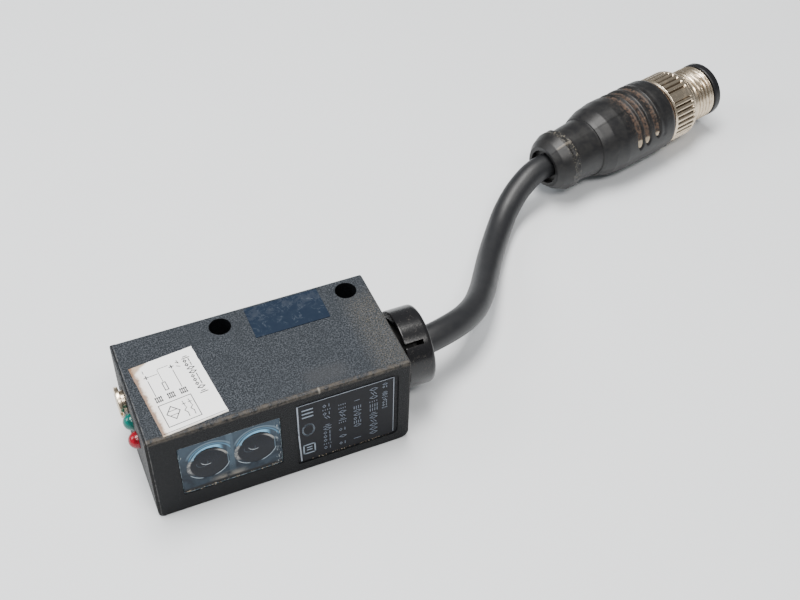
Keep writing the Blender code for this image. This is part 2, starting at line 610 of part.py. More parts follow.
BOARD_WHITE = material("emitter white", (0.8, 0.78, 0.7), 0.4)
CHIP_BLACK = material("chip black", (0.02, 0.02, 0.02), 0.5)
CHIP_BLUE = material("potentiometer blue", (0.03, 0.12, 0.4), 0.4)
WIRE_BROWN = material("wire brown", (0.2, 0.08, 0.03), 0.45)
WIRE_BLUE = material("wire blue", (0.03, 0.1, 0.5), 0.45)

make_housing()
make_end_cover()
make_lens_plate()
make_optics()
make_electronics()
make_indicators()
make_adjuster()
make_plates_and_stickers()
make_gland()
make_wires()
make_cable()
make_plug()
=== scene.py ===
"""A compact photoelectric sensor lying on its wide side, with its short cable and M12 plug.

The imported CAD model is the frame. Most of what shows is a finer piece made here in the same place,
and the rest are CAD pieces with a material of their own. Lengths are in millimetres unless said.
"""

import math
import random

import bmesh
import bpy
from mathutils import Matrix, Vector, noise


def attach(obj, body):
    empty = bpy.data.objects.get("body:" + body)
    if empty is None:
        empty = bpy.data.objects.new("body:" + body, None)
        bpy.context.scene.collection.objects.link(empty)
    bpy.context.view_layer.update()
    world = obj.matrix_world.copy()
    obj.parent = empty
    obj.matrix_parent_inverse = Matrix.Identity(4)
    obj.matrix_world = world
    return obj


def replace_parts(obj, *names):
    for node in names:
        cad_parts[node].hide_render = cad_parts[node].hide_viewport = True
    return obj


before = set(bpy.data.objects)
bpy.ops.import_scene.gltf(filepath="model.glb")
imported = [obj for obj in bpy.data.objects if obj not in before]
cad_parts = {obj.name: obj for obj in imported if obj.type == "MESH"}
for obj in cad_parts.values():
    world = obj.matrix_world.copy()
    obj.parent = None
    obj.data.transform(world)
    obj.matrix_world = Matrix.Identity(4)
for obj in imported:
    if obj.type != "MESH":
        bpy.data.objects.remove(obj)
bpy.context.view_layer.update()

MM = 0.001
UP = Vector((0.0, 0.0, 1.0))
ALONG_X = Vector((1.0, 0.0, 0.0))

# Camera and floor
CAMERA_LENS = 53.37
CAMERA_AT = Vector((-33.14, -127.73, 167.42))
CAMERA_AIM = Vector((30.3, 11.3, 10.0))
CAMERA_ROLL = math.radians(1.74)
FLOOR_HALF_M = 1.6

# Housing: its ends, sides and top, its screw holes, and what is set into its front
END_X = 22.5
SIDE_Y = 11.2
TOP_Z = 19.8
HOLES = ((-4.35, 8.35), (18.45, 8.35))
HOLE_R = 1.9
BOSS_R = 3.1
NECK_R = 5.0
WINDOW = (-17.95, -0.60, 4.1, 16.2)
PLATE = (2.2, 19.6)
PLATE_PRINT = (-11.102, -11.075)
LENS_XS = (-13.30, -5.25)
LENS_Z = 10.15

# Label and film on top
LABEL_CENTRE = (-14.75, -2.55)
LABEL_HALF = (5.5, 7.85)
LABEL_TURN = math.radians(6.0)
FILM = (0.5, 13.8, 3.5, 10.65)

# Cover, lamps and adjuster on the -X end
COVER = (-22.62, -21.6, 0.04, 19.74)
COVER_Y = 11.15
LAMP_Z = 12.0
LAMP_R = 1.45
RED_Y = -3.5
GREEN_Y = 0.55
ADJUSTER_Y = 5.3

# Gland, cable and plug; distances along the plug are from its cable end
GLAND = Vector((0.0, 0.2, 10.1))
CABLE_D = 5.2
PLUG_AT = Vector((74.5, 37.5, 8.15))
PLUG_TURN = math.radians(13.8)
PLUG_WAY = Vector((math.cos(PLUG_TURN), math.sin(PLUG_TURN), 0.0))
ROUTE = [
    Vector((29.5, 0.2, 10.1)), Vector((31.0, 0.3, 10.1)), Vector((33.8, 1.0, 9.9)), Vector((37.4, 2.4, 9.3)),
    Vector((40.8, 4.4, 8.3)), Vector((44.3, 7.4, 7.1)), Vector((47.7, 11.6, 5.6)), Vector((50.8, 16.1, 4.3)),
    Vector((54.0, 20.8, 3.3)), Vector((57.0, 24.8, 2.9)), Vector((60.0, 28.5, 3.0)), Vector((63.2, 31.9, 4.0)),
    Vector((66.8, 34.5, 5.9)), Vector((70.6, 36.3, 7.6)), PLUG_AT - 1.2 * PLUG_WAY, PLUG_AT + 0.9 * PLUG_WAY,
]
GROOVES = ((20.9, 1.42), (23.1, 1.38), (26.1, 1.30))
SEAM_ANGLE = 0.35
KNURL = (32.75, 38.1)
RIBS = 38
FLAT_SPOT_ANGLE = 0.62
THREAD = (40.5, 45.95)
THREAD_PITCH = 1.0


# ---------------------------------------------------------------- camera, light and floor

def in_scene(name, data):
    made = bpy.data.objects.new(name, data)
    bpy.context.scene.collection.objects.link(made)
    return made


def make_camera():
    data = bpy.data.cameras.new("camera")
    data.sensor_width = 36.0
    data.lens = CAMERA_LENS
    camera = in_scene("camera", data)
    turn = (CAMERA_AIM * MM - CAMERA_AT * MM).to_track_quat("-Z", "Y").to_matrix().to_4x4()
    camera.matrix_world = Matrix.Translation(CAMERA_AT * MM) @ turn @ Matrix.Rotation(CAMERA_ROLL, 4, "Z")
    bpy.context.scene.camera = camera


def softbox(name, place, aim, size, watts, tint):
    """A rectangular lamp; its place, aim and size are in metres."""
    data = bpy.data.lights.new(name, "AREA")
    data.shape = "RECTANGLE"
    data.size, data.size_y = size
    data.energy = watts
    data.color = tint
    light = in_scene(name, data)
    light.location = place
    light.rotation_euler = (Vector(aim) - Vector(place)).to_track_quat("-Z", "Y").to_euler()


def make_studio():
    world = bpy.data.worlds.new("studio")
    world.use_nodes = True
    sky = world.node_tree.nodes["Background"].inputs
    sky["Color"].default_value = (0.93, 0.96, 1.0, 1.0)
    sky["Strength"].default_value = 0.28
    bpy.context.scene.world = world
    softbox("overhead", (-0.04, 0.09, 0.66), (0.03, 0.01, 0.0), (0.46, 0.24), 7.8, (1.0, 0.985, 0.96))
    softbox("front", (0.03, -0.32, 0.54), (0.04, 0.01, 0.0), (0.34, 0.14), 2.4, (1.0, 0.98, 0.95))
    softbox("side", (-0.45, 0.16, 0.36), (0.03, 0.01, 0.0), (0.26, 0.26), 1.6, (0.95, 0.98, 1.0))
    floor_mesh = bpy.data.meshes.new("floor")
    corners = ((-1, -1), (1, -1), (1, 1), (-1, 1))
    floor_mesh.from_pydata([(x * FLOOR_HALF_M, y * FLOOR_HALF_M, 0) for x, y in corners], [], [(0, 1, 2, 3)])
    floor = in_scene("floor", floor_mesh)
    look = Look("floor pale", (0.74, 0.76, 0.78), 0.6)
    floor_mesh.materials.append(look.done(look.blend(look.noise(0.03, 2.0), (0.73, 0.75, 0.77), (0.76, 0.78, 0.80))))


# ---------------------------------------------------------------- materials

class Look:
    """A Principled material, with the nodes that vary it over the surface. Positions are in mm."""

    def __init__(self, name, colour, roughness, metallic=0.0, **fixed):
        self.material = bpy.data.materials.new(name)
        self.material.use_nodes = True
        self.tree = self.material.node_tree
        self.shader = self.tree.nodes["Principled BSDF"].inputs
        self.feed(self.shader["Base Color"], colour)
        self.feed(self.shader["Roughness"], roughness)
        self.metal(metallic)
        for socket, value in fixed.items():
            self.shader[socket.replace("_", " ")].default_value = value
        self.at = self.vector("MULTIPLY", self.node("TexCoord", {}, "Object"), (1000.0, 1000.0, 1000.0))
        self.x, self.y, self.z = self.parts(self.at)

    def feed(self, socket, value):
        if isinstance(value, bpy.types.NodeSocket):
            self.tree.links.new(value, socket)
        elif isinstance(value, tuple) and socket.type == "RGBA":
            socket.default_value = (*value, 1.0)
        else:
            socket.default_value = value

    def node(self, kind, inputs, output=0, **settings):
        """Add a node; each input gets a value or another node's output."""
        made = self.tree.nodes.new("ShaderNode" + kind)
        for setting, value in settings.items():
            setattr(made, setting, value)
        for socket, value in inputs.items():
            self.feed(made.inputs[socket], value)
        return made.outputs[output]

    def parts(self, vector):
        split = self.tree.nodes.new("ShaderNodeSeparateXYZ")
        self.tree.links.new(vector, split.inputs[0])
        return split.outputs

    def vector(self, operation, a, b=(0.0, 0.0, 0.0)):
        output = "Value" if operation == "LENGTH" else "Vector"
        return self.node("VectorMath", {0: a, 1: b}, output, operation=operation)

    def out(self):
        """Distance from the local z axis."""
        return self.vector("LENGTH", self.vector("MULTIPLY", self.at, (1.0, 1.0, 0.0)))

    def math(self, operation, a, b=0.0):
        return self.node("Math", {0: a, 1: b}, operation=operation)

    def times(self, first, *others):
        for other in others:
            first = self.math("MULTIPLY", first, other)
        return first

    def most(self, first, *others):
        for other in others:
            first = self.math("MAXIMUM", first, other)
        return first

    def plus(self, a, b):
        return self.math("ADD", a, b)

    def minus(self, a, b):
        return self.math("SUBTRACT", a, b)

    def size(self, a):
        return self.math("ABSOLUTE", a)

    def step(self, value, low, high):
        """Rises smoothly from 0 at low to 1 at high, or falls if low is the larger."""
        falling = low > high
        return self.node("MapRange", {"Value": value, "From Min": min(low, high), "From Max": max(low, high),
                                      "To Min": 1.0 if falling else 0.0, "To Max": 0.0 if falling else 1.0},
                         interpolation_type="SMOOTHSTEP")

    def band(self, value, low, high, soft):
        """1 between low and high, 0 outside, with soft edges."""
        return self.times(self.step(value, low - soft, low + soft), self.step(value, high + soft, high - soft))

    def noise(self, per_mm, detail=3.0, rough=0.5, distortion=0.0, stretch=None):
        at = self.at if stretch is None else self.vector("MULTIPLY", self.at, stretch)
        return self.node("TexNoise", {"Vector": at, "Scale": per_mm, "Detail": detail, "Roughness": rough,
                                      "Distortion": distortion}, "Fac")

    def blend(self, factor, a, b):
        return self.node("Mix", {0: factor, 6: a, 7: b}, 2, data_type="RGBA")

    def mix(self, factor, a, b):
        """The same for plain numbers."""
        return self.node("Mix", {0: factor, 2: a, 3: b})

    def coat(self, base, *coats):
        """Lay coats over a base colour. Each is (mask, strength, colour)."""
        for mask, strength, colour in coats:
            base = self.blend(mask if strength == 1.0 else self.times(mask, strength), base, colour)
        return base

    def metal(self, value):
        self.feed(self.shader["Metallic"], value)

    def done(self, colour, rough=None, bump=None):
        """Feed the shader and hand back the material. A bump is (height, what 1 stands for in mm, strength)."""
        self.feed(self.shader["Base Color"], colour)
        if rough:
            self.feed(self.shader["Roughness"], rough)
        if bump:
            height, depth, strength = bump
            self.feed(self.shader["Normal"], self.node(
                "Bump", {"Strength": strength, "Distance": depth * MM, "Height": height}, "Normal"))
        return self.material


def housing_look():
    """Charcoal moulded plastic: dusty and sparkling on top, with painted light making the top lighter and painted
    shade making the sides near black; rubbed at its edges, with painted edge highlights and painted shade in the gaps
    at its ends.
    """
    look = Look("housing plastic", (0.03, 0.031, 0.034), 0.5, Specular_IOR_Level=0.14)
    facing = look.parts(look.node("NewGeometry", {}, "Normal"))
    # Painted light and shade: the top faces are lighter, partly dust and partly light from above, and the sides are
    # near black.
    upper = look.times(look.step(facing[2], 0.25, 0.9), look.step(look.z, 19.0, 19.5))
    grain = look.noise(4.2, 2.5, 0.7)
    speck = look.step(grain, 0.42, 0.66)
    side = look.blend(speck, (0.0035, 0.004, 0.005), (0.008, 0.009, 0.011))
    cloud = look.step(look.noise(0.22, 4.0, 0.6), 0.42, 0.7)
    smudge = look.times(look.band(look.x, 5.0, 12.0, 1.6), look.band(look.y, -9.8, -6.6, 1.2))
    gold = look.times(look.step(look.x, 15.0, 19.5), look.band(look.y, -12.0, 6.5, 3.0),
                      look.step(look.noise(4.6, 4.0, 0.75), 0.46, 0.70))
    top = look.coat(
        look.blend(speck, (0.012, 0.015, 0.019), (0.062, 0.069, 0.080)),
        (cloud, 0.45, (0.022, 0.026, 0.031)),
        (smudge, 0.6, (0.040, 0.042, 0.046)),
        (gold, 0.6, (0.19, 0.165, 0.12)))
    near_top = look.step(look.z, TOP_Z - 0.95, TOP_Z - 0.45)
    rub = look.times(near_top, look.step(look.y, -SIDE_Y + 0.95, -SIDE_Y + 0.55))
    # At the corners the brown is partly wear and partly a painted highlight along the edges.
    corner_x = look.step(look.size(look.x), END_X - 0.6, END_X - 0.25)
    corner_y = look.step(look.size(look.y), SIDE_Y - 0.6, SIDE_Y - 0.25)
    corners = look.most(look.times(corner_x, corner_y), look.times(corner_x, near_top))
    patches = look.step(look.noise(0.9, 6.0, 0.7, 0.5), 0.33, 0.63)
    wear_and_corner_highlight = look.times(look.most(rub, look.times(corners, 0.16)), patches)
    brown = look.blend(look.noise(1.6, 4.0, 0.7), (0.030, 0.025, 0.020), (0.125, 0.108, 0.088))
    nick = look.times(look.band(look.x, 6.1, 6.4, 0.14), rub)
    line = look.times(look.band(look.y, -10.55, -10.4, 0.07), near_top)
    # A near-black line at the cover joint: partly the joint itself, partly painted shade in the gap.
    seam = look.band(look.x, -22.42, -22.26, 0.04)
    # Painted highlight: a pale line beside the joint for light on the cover's rim.
    cover_rim_highlight = look.times(look.band(look.x, -22.17, -22.05, 0.04), patches)
    # Painted shade: beyond the housing's end the neck is near black, for the shaded gap under the gland nut.
    neck = look.step(look.x, 22.62, 22.9)
    base = look.coat(
        look.blend(upper, side, top),
        (wear_and_corner_highlight, 0.85, brown),
        (nick, 0.6, (0.28, 0.26, 0.22)),
        (line, 0.55, (0.02, 0.02, 0.022)),
        (seam, 0.9, (0.002, 0.002, 0.002)),
        (cover_rim_highlight, 0.6, (0.16, 0.16, 0.16)),
        (neck, 1.0, (0.002, 0.002, 0.002)))
    height = look.plus(grain, look.times(look.noise(7.0, 2.0, 0.6), 0.35))
    return look.done(base, look.mix(speck, 0.56, 0.40), (height, 0.12, 0.8))


def smooth_black_look(name, colour, roughness, grey, scuff=0.5, painted_shade_within=None):
    """Smooth black moulded plastic with faint scuffs and dust; inside the radius given last, its hollows and slits
    are painted near black as shade.
    """
    look = Look(name, colour, roughness, Specular_IOR_Level=0.4)
    scuffs = look.step(look.noise(1.2, 6.0, 0.75, 0.6), 0.52, 0.8)
    base = look.coat(colour, (scuffs, scuff, grey))
    if painted_shade_within:
        # Painted shade: the inner faces and slits are made near black.
        inner = look.times(look.step(look.out(), painted_shade_within, painted_shade_within - 0.15), look.step(look.z, 29.2, 28.9))
        base = look.coat(base, (inner, 1.0, (0.0015, 0.0015, 0.0015)))
    return look.done(base, look.mix(scuffs, roughness, min(1.0, roughness + 0.25)),
                     (look.noise(4.0, 3.0, 0.6), 0.02, 0.4))


def grip_look():
    """Soft black plastic: a grey sheen, rubbed tan around the ridge, brown dirt in the grooves, and painted shade on
    the groove walls.
    """
    look = Look("grip plastic", (0.025, 0.025, 0.026), 0.42, Specular_IOR_Level=0.4)
    along = look.z
    out = look.out()
    mottled = look.noise(0.55, 5.0, 0.6, 0.4)
    ribs = look.band(along, 20.0, 27.2, 0.5)
    sunk = look.times(look.step(out, 7.72, 7.60), ribs)
    # Painted shade: the groove walls on the upper side are made darker.
    groove_wall_shade = look.times(look.band(out, 7.68, 8.0, 0.05), ribs, look.step(look.x, -1.0, 0.5))
    low_end = look.step(look.x, 2.3, 1.8)
    floor = look.most(look.times(sunk, look.step(look.noise(1.4, 5.0, 0.75), 0.40, 0.62)), look.times(sunk, low_end))
    dust = look.times(look.band(along, 18.6, 27.6, 1.2), look.step(look.x, 0.5, 3.5),
                      look.step(look.noise(2.4, 5.0, 0.75), 0.52, 0.72))
    chewed = look.times(look.band(along, 3.3, 5.3, 0.5), look.step(look.noise(2.6, 4.0, 0.7, 0.8), 0.54, 0.68),
                        look.step(look.x, -3.5, 0.5))
    off_seam = look.size(look.minus(look.math("ARCTAN2", look.y, look.x), SEAM_ANGLE))
    dark_seam = look.times(look.step(off_seam, 0.042, 0.020), look.band(along, 11.3, 19.4, 0.1))
    pale_seam = look.times(look.step(off_seam, 0.060, 0.020), look.band(along, 1.4, 4.9, 0.3))
    rim = look.times(look.step(along, 31.25, 31.6), look.step(mottled, 0.3, 0.55))
    base = look.coat(
        look.blend(look.step(mottled, 0.3, 0.75), (0.005, 0.005, 0.006), (0.015, 0.0145, 0.014)),
        (groove_wall_shade, 1.0, (0.004, 0.004, 0.004)),
        (floor, 0.85, look.blend(low_end, (0.10, 0.062, 0.042), (0.46, 0.38, 0.28))),
        (dust, 0.5, (0.16, 0.11, 0.075)),
        (chewed, 0.6, (0.30, 0.27, 0.21)),
        (dark_seam, 0.9, (0.003, 0.003, 0.003)),
        (pale_seam, 0.45, (0.22, 0.19, 0.15)),
        (look.band(along, 11.30, 11.46, 0.03), 0.8, (0.003, 0.003, 0.003)),
        (rim, 0.8, (0.14, 0.085, 0.05)))
    rough = look.mix(look.most(floor, dust, chewed), look.mix(mottled, 0.36, 0.5), 0.8)
    height = look.plus(look.noise(5.0, 3.0, 0.6), look.times(look.noise(0.6, 2.0), 1.5))
    return look.done(base, rough, (height, 0.04, 0.3))


def cable_look():
    look = Look("cable jacket", (0.02, 0.021, 0.023), 0.5, Specular_IOR_Level=0.45)
    base = look.blend(look.noise(0.5, 4.0, 0.6), (0.006, 0.007, 0.009), (0.018, 0.018, 0.019))
    return look.done(base, look.mix(look.noise(1.5, 4.0, 0.6), 0.38, 0.52), (look.noise(5.0, 3.0, 0.6), 0.04, 0.4))


def nickel_look(name="nickel", along_scratches=(1.0, 1.0, 0.12), grooved=False):
    """Warm nickel plating with fine marks and dull grime, which fills the knurl and thread if grooved."""
    look = Look(name, (0.62, 0.55, 0.46), 0.28, 1.0)
    marks = look.noise(3.0, 5.0, 0.7, stretch=along_scratches)
    grime = look.step(look.noise(0.5, 4.0, 0.6, 0.5), 0.52, 0.75)
    plated = look.coat(look.blend(marks, (0.57, 0.46, 0.33), (0.77, 0.66, 0.51)), (grime, 0.45, (0.30, 0.21, 0.13)))
    if grooved:
        out = look.out()
        knurl = look.times(look.step(out, 7.45, 7.22), look.band(look.z, 33.0, 38.0, 0.15))
        thread = look.times(look.step(out, 5.85, 5.6), look.band(look.z, 40.7, 45.8, 0.15))
        plated = look.coat(plated, (knurl, 0.8, (0.15, 0.11, 0.075)), (thread, 0.7, (0.26, 0.19, 0.12)))
    look.metal(look.mix(grime, 1.0, 0.9))
    return look.done(plated, look.mix(grime, look.mix(marks, 0.20, 0.32), 0.42), (marks, 0.004, 0.2))


def paper_look():
    """A white label: tan at its back left corner and soiled along its left and front edges."""
    look = Look("label white", (0.93, 0.93, 0.92), 0.42)
    wander = look.times(look.minus(look.noise(0.7, 5.0, 0.65), 0.5), 1.6)
    across = look.plus(look.x, wander)
    diagonal = look.plus(look.minus(look.times(look.y, 1.6), look.x), wander)
    base = look.coat(
        look.blend(look.noise(0.8, 3.0), (0.95, 0.95, 0.95), (0.90, 0.905, 0.91)),
        (look.step(across, -3.4, -5.2), 0.35, (0.75, 0.56, 0.36)),
        (look.step(diagonal, 14.6, 15.6), 0.9, (0.36, 0.25, 0.16)),
        (look.step(across, -4.6, -5.2), 0.9, (0.17, 0.085, 0.04)),
        (look.step(look.plus(look.y, look.times(wander, 0.5)), -7.35, -7.75), 0.6, (0.40, 0.34, 0.27)))
    return look.done(base, look.mix(look.noise(1.0, 3.0), 0.35, 0.5), (look.noise(1.5, 4.0, 0.6), 0.02, 0.3))


def ink_look(name, colour, backing, wear_at=0.62):
    """Printed lines, worn through in places to what is behind."""
    look = Look(name, colour, 0.5)
    gone = look.step(look.noise(2.2, 5.0, 0.7), wear_at, wear_at + 0.14)
    return look.done(look.coat(colour, (gone, 0.8, backing)), look.mix(gone, 0.45, 0.6))


def film_look():
    """Dark smooth film, dulled by dust towards the back and crossed by fine pale creases."""
    look = Look("film dark", (0.015, 0.022, 0.036), 0.22, Specular_IOR_Level=0.25)
    haze = look.times(look.step(look.noise(0.6, 5.0, 0.7, 0.5), 0.42, 0.7), look.step(look.y, 5.0, 9.5))
    crease = look.size(look.minus(look.noise(0.35, 4.0, 0.6, 1.0), 0.5))
    crease = look.times(look.step(crease, 0.012, 0.003), look.step(look.noise(0.5, 2.0), 0.45, 0.6))
    base = look.coat(
        look.blend(look.noise(1.0, 3.0), (0.009, 0.016, 0.031), (0.013, 0.021, 0.036)),
        (haze, 0.14, (0.055, 0.065, 0.08)),
        (crease, 0.2, (0.20, 0.23, 0.26)))
    return look.done(base, look.mix(haze, 0.2, 0.5), (look.noise(0.5, 3.0, 0.5, 0.8), 0.06, 0.4))


def plate_look():
    look = Look("rating plate", (0.008, 0.009, 0.013), 0.32, Specular_IOR_Level=0.12)
    haze = look.noise(0.9, 5.0, 0.7, 0.4)
    base = look.blend(look.step(haze, 0.4, 0.8), (0.003, 0.0035, 0.006), (0.008, 0.009, 0.013))
    return look.done(base, look.mix(haze, 0.24, 0.5), (look.noise(3.0, 4.0, 0.6), 0.01, 0.3))


def window_look():
    """The clear window: hazy blue-grey plastic, painted lighter towards the top as a reflection, in front of two
    lenses whose dark inside is painted shade and whose edges carry painted reflections in pale arcs. Both lenses use
    one pattern, drawn about the lens centre.
    """
    look = Look("window", (0.04, 0.06, 0.08), 0.16, Specular_IOR_Level=0.14)
    band, most, step, times = look.band, look.most, look.step, look.times
    second = step(look.x, -9.28, -9.26)
    u = look.minus(look.minus(look.x, LENS_XS[0]), times(second, LENS_XS[1] - LENS_XS[0]))
    v = look.minus(look.z, LENS_Z)
    wobble = times(look.minus(look.noise(0.9, 4.0, 0.6), 0.5), 0.45)

    def away(cu, cv):
        """Distance from a point given from the lens centre."""
        du = look.minus(u, cu)
        dv = look.minus(v, cv)
        return look.math("SQRT", look.plus(times(du, du), times(dv, dv)))

    main = away(0.1, 0.0)
    egg = look.plus(away(0.42, 1.25), wobble)
    left_round = look.plus(away(0.85, 0.1), wobble)
    # Painted shade: the lens bodies are made near black, for the dark inside seen through them.
    body = times(step(main, 3.60, 3.50), step(left_round, 3.95, 3.75))
    cap_side = most(step(v, 2.1, 1.7), step(egg, 2.78, 2.62))
    dark = times(most(body, step(egg, 2.78, 2.62)), cap_side)
    # Painted reflections and highlights: the arcs, crescent, cream streaks, lines, smile and ghost below stand for
    # light caught by the lens edges.
    rim = away(0.63, 1.0)
    crescent_reflection = times(step(rim, 3.46, 3.36), step(v, 1.3, 2.2), step(u, 3.0, 1.9), look.minus(1.0, dark))
    outer_arc_reflection = times(band(rim, 3.60, 3.86, 0.06), step(v, 1.6, 2.6))
    faint_arc_reflection = times(band(rim, 4.02, 4.35, 0.12), step(v, 2.0, 3.2))
    streaks = step(look.noise(1.1, 5.0, 0.75, 0.6), 0.36, 0.60)
    cream_reflection_left = times(band(main, 3.05, 3.60, 0.16), step(u, -1.6, -2.6), band(v, -1.4, 2.3, 0.8), streaks)
    cream_reflection_right = times(band(main, 3.22, 3.58, 0.10), step(u, 1.0, 2.3), band(v, 1.2, 3.0, 0.5))
    right_line_reflection = times(band(u, 3.38, 3.50, 0.05), band(v, -1.3, 1.6, 0.25))
    low_right_glint = times(band(away(0.1, 0.05), 3.60, 3.70, 0.04), step(u, 0.7, 1.4), step(v, -0.9, -1.4))
    low_left_glint = times(band(away(0.0, 0.15), 3.60, 3.72, 0.05), band(u, -3.1, -1.1, 0.25), step(v, -1.5, -2.0))
    smile_reflection = times(band(away(0.05, 1.2), 1.18, 1.30, 0.05), band(u, -1.0, 0.5, 0.25), step(v, 1.0, 0.7))
    ghost_reflection = times(band(away(-0.9, 0.6), 0.9, 1.0, 0.08), step(v, 1.2, 0.5))

    haze = look.noise(0.45, 5.0, 0.6, 0.6)
    pillar = times(step(look.size(look.plus(look.x, 9.3)), 0.75, 0.35), step(look.z, 5.0, 9.0))
    bottom = times(step(look.z, 6.8, 4.9), band(look.x, -12.4, -7.6, 1.4), step(haze, 0.3, 0.6))
    scratch = step(look.noise(3.2, 4.0, 0.7, stretch=(1.0, 1.0, 0.3)), 0.58, 0.66)
    border = most(step(look.x, -2.0, -1.2), times(step(look.x, -17.0, -17.4), step(look.z, 12.0, 14.0)))
    base = look.coat(
        look.blend(step(haze, 0.3, 0.72), (0.007, 0.013, 0.022), (0.024, 0.040, 0.058)),
        # Painted reflection: the plate is made lighter blue towards the top.
        (step(look.z, 9.0, 15.5), 0.6, (0.050, 0.080, 0.112)),
        (pillar, 0.5, (0.075, 0.12, 0.16)),
        (bottom, 0.75, (0.27, 0.24, 0.19)),
        (step(look.z, 5.35, 4.85), 1.0, (0.010, 0.011, 0.013)),
        (times(scratch, border), 1.0, (0.34, 0.38, 0.40)),
        (dark, 1.0, look.blend(look.noise(0.6, 2.0), (0.002, 0.003, 0.006), (0.006, 0.009, 0.016))),
        (most(faint_arc_reflection, times(right_line_reflection, 1.1)), 0.45, (0.20, 0.30, 0.38)),
        (outer_arc_reflection, 0.6, (0.11, 0.26, 0.40)),
        (crescent_reflection, 1.0, look.blend(step(u, -2.2, 0.5), (0.15, 0.31, 0.44), (0.19, 0.46, 0.68))),
        (most(cream_reflection_left, cream_reflection_right), 0.75,
         look.blend(look.noise(1.0, 4.0, 0.7), (0.22, 0.22, 0.21), (0.56, 0.55, 0.52))),
        (most(low_right_glint, low_left_glint), 0.85, (0.42, 0.50, 0.56)),
        (smile_reflection, 0.85, (0.50, 0.54, 0.58)),
        (ghost_reflection, 0.12, (0.3, 0.4, 0.5)))
    return look.done(base, look.mix(step(haze, 0.3, 0.7), 0.08, 0.22))


def lamp_look(name, dark, light):
    look = Look(name, light, 0.2, Specular_IOR_Level=0.45, IOR=1.5)
    base = look.blend(look.step(look.noise(1.3, 3.0, 0.6), 0.3, 0.7), dark, light)
    return look.done(base, look.mix(look.noise(4.0, 3.0), 0.14, 0.3))


def clear_look():
    look = Look("clear edge", (0.2, 0.26, 0.3), 0.12, Specular_IOR_Level=0.3)
    base = look.blend(look.step(look.noise(2.0, 4.0, 0.7), 0.35, 0.7), (0.03, 0.05, 0.065), (0.26, 0.32, 0.36))
    return look.done(base, look.mix(look.noise(3.0, 3.0), 0.08, 0.3))


def dirt_look():
    look = Look("grit", (0.2, 0.16, 0.1), 0.8)
    base = look.blend(look.step(look.noise(3.0, 3.0), 0.4, 0.65), (0.05, 0.035, 0.02), (0.50, 0.44, 0.34))
    return look.done(base, None, (look.noise(6.0, 3.0), 0.05, 0.6))


def board_look():
    look = Look("circuit board", (0.02, 0.13, 0.05), 0.35)
    edges = look.node("TexVoronoi", {"Vector": look.at, "Scale": 0.45}, "Distance", feature="DISTANCE_TO_EDGE")
    tracks = look.step(edges, 0.05, 0.09)
    base = look.blend(tracks, (0.035, 0.20, 0.08), (0.012, 0.10, 0.035))
    return look.done(base, look.mix(look.noise(2.0, 3.0), 0.28, 0.45), (tracks, 0.03, 0.5))


def plain_part_look(name, colour, roughness, metallic=0.0):
    """For the small parts inside: their own colour with a moulded or brushed variation."""
    look = Look(name, colour, roughness, metallic)
    base = look.blend(look.noise(1.4, 4.0, 0.6), tuple(channel * 0.7 for channel in colour), colour)
    rough = look.mix(look.noise(3.0, 4.0, 0.6), roughness * 0.8, min(1.0, roughness * 1.25))
    return look.done(base, rough, (look.noise(5.0, 3.0, 0.6), 0.015, 0.4))


# ---------------------------------------------------------------- shape helpers

def piece_from(name, shape, material, body="sensor", place=None, crease=None):
    """Turn a bmesh drawn in millimetres into a piece that rides on a body."""
    bmesh.ops.recalc_face_normals(shape, faces=shape.faces)
    bmesh.ops.scale(shape, vec=(MM, MM, MM), verts=shape.verts)
    mesh = bpy.data.meshes.new(name)
    shape.to_mesh(mesh)
    shape.free()
    mesh.shade_smooth()
    if crease is not None:
        mesh.set_sharp_from_angle(angle=math.radians(crease))
    piece = in_scene(name, mesh)
    if place is not None:
        piece.matrix_world = place
    if material:
        mesh.materials.append(material)
    if body:
        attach(piece, body)
    return piece


def axis_place(origin, way):
    """Local z runs along way and local x points up as far as it can; origin is in millimetres."""
    way = way.normalized()
    x = (UP - UP.dot(way) * way).normalized()
    y = way.cross(x)
    turn = Matrix((x, y, way)).transposed().to_4x4()
    return Matrix.Translation(origin * MM) @ turn


def rounded(corners, closed=False, steps=4):
    """A profile (height, radius) with its corners rounded by the third number of each."""
    made = []
    count = len(corners)
    for index, (height, radius, fillet) in enumerate(corners):
        here = Vector((height, radius))
        inner = closed or 0 < index < count - 1
        if not fillet or not inner:
            made.append(here)
            continue
        before = Vector(corners[index - 1][:2]) - here
        after = Vector(corners[(index + 1) % count][:2]) - here
        angle = before.angle(after)
        reach = min(fillet / math.tan(angle / 2), before.length * 0.49, after.length * 0.49)
        start = here + before.normalized() * reach
        end = here + after.normalized() * reach
        for step in range(steps + 1):
            t = step / steps
            made.append((1 - t) ** 2 * start + 2 * t * (1 - t) * here + t ** 2 * end)
    return made


def dense(profile, spacing, closed=False):
    """The same profile with points no further apart than spacing."""
    ends = zip(profile, profile[1:] + profile[:1] if closed else profile[1:])
    made = []
    for a, b in ends:
        parts = max(1, math.ceil((b - a).length / spacing))
        made += [a.lerp(b, part / parts) for part in range(parts)]
    return made if closed else made + [profile[-1]]


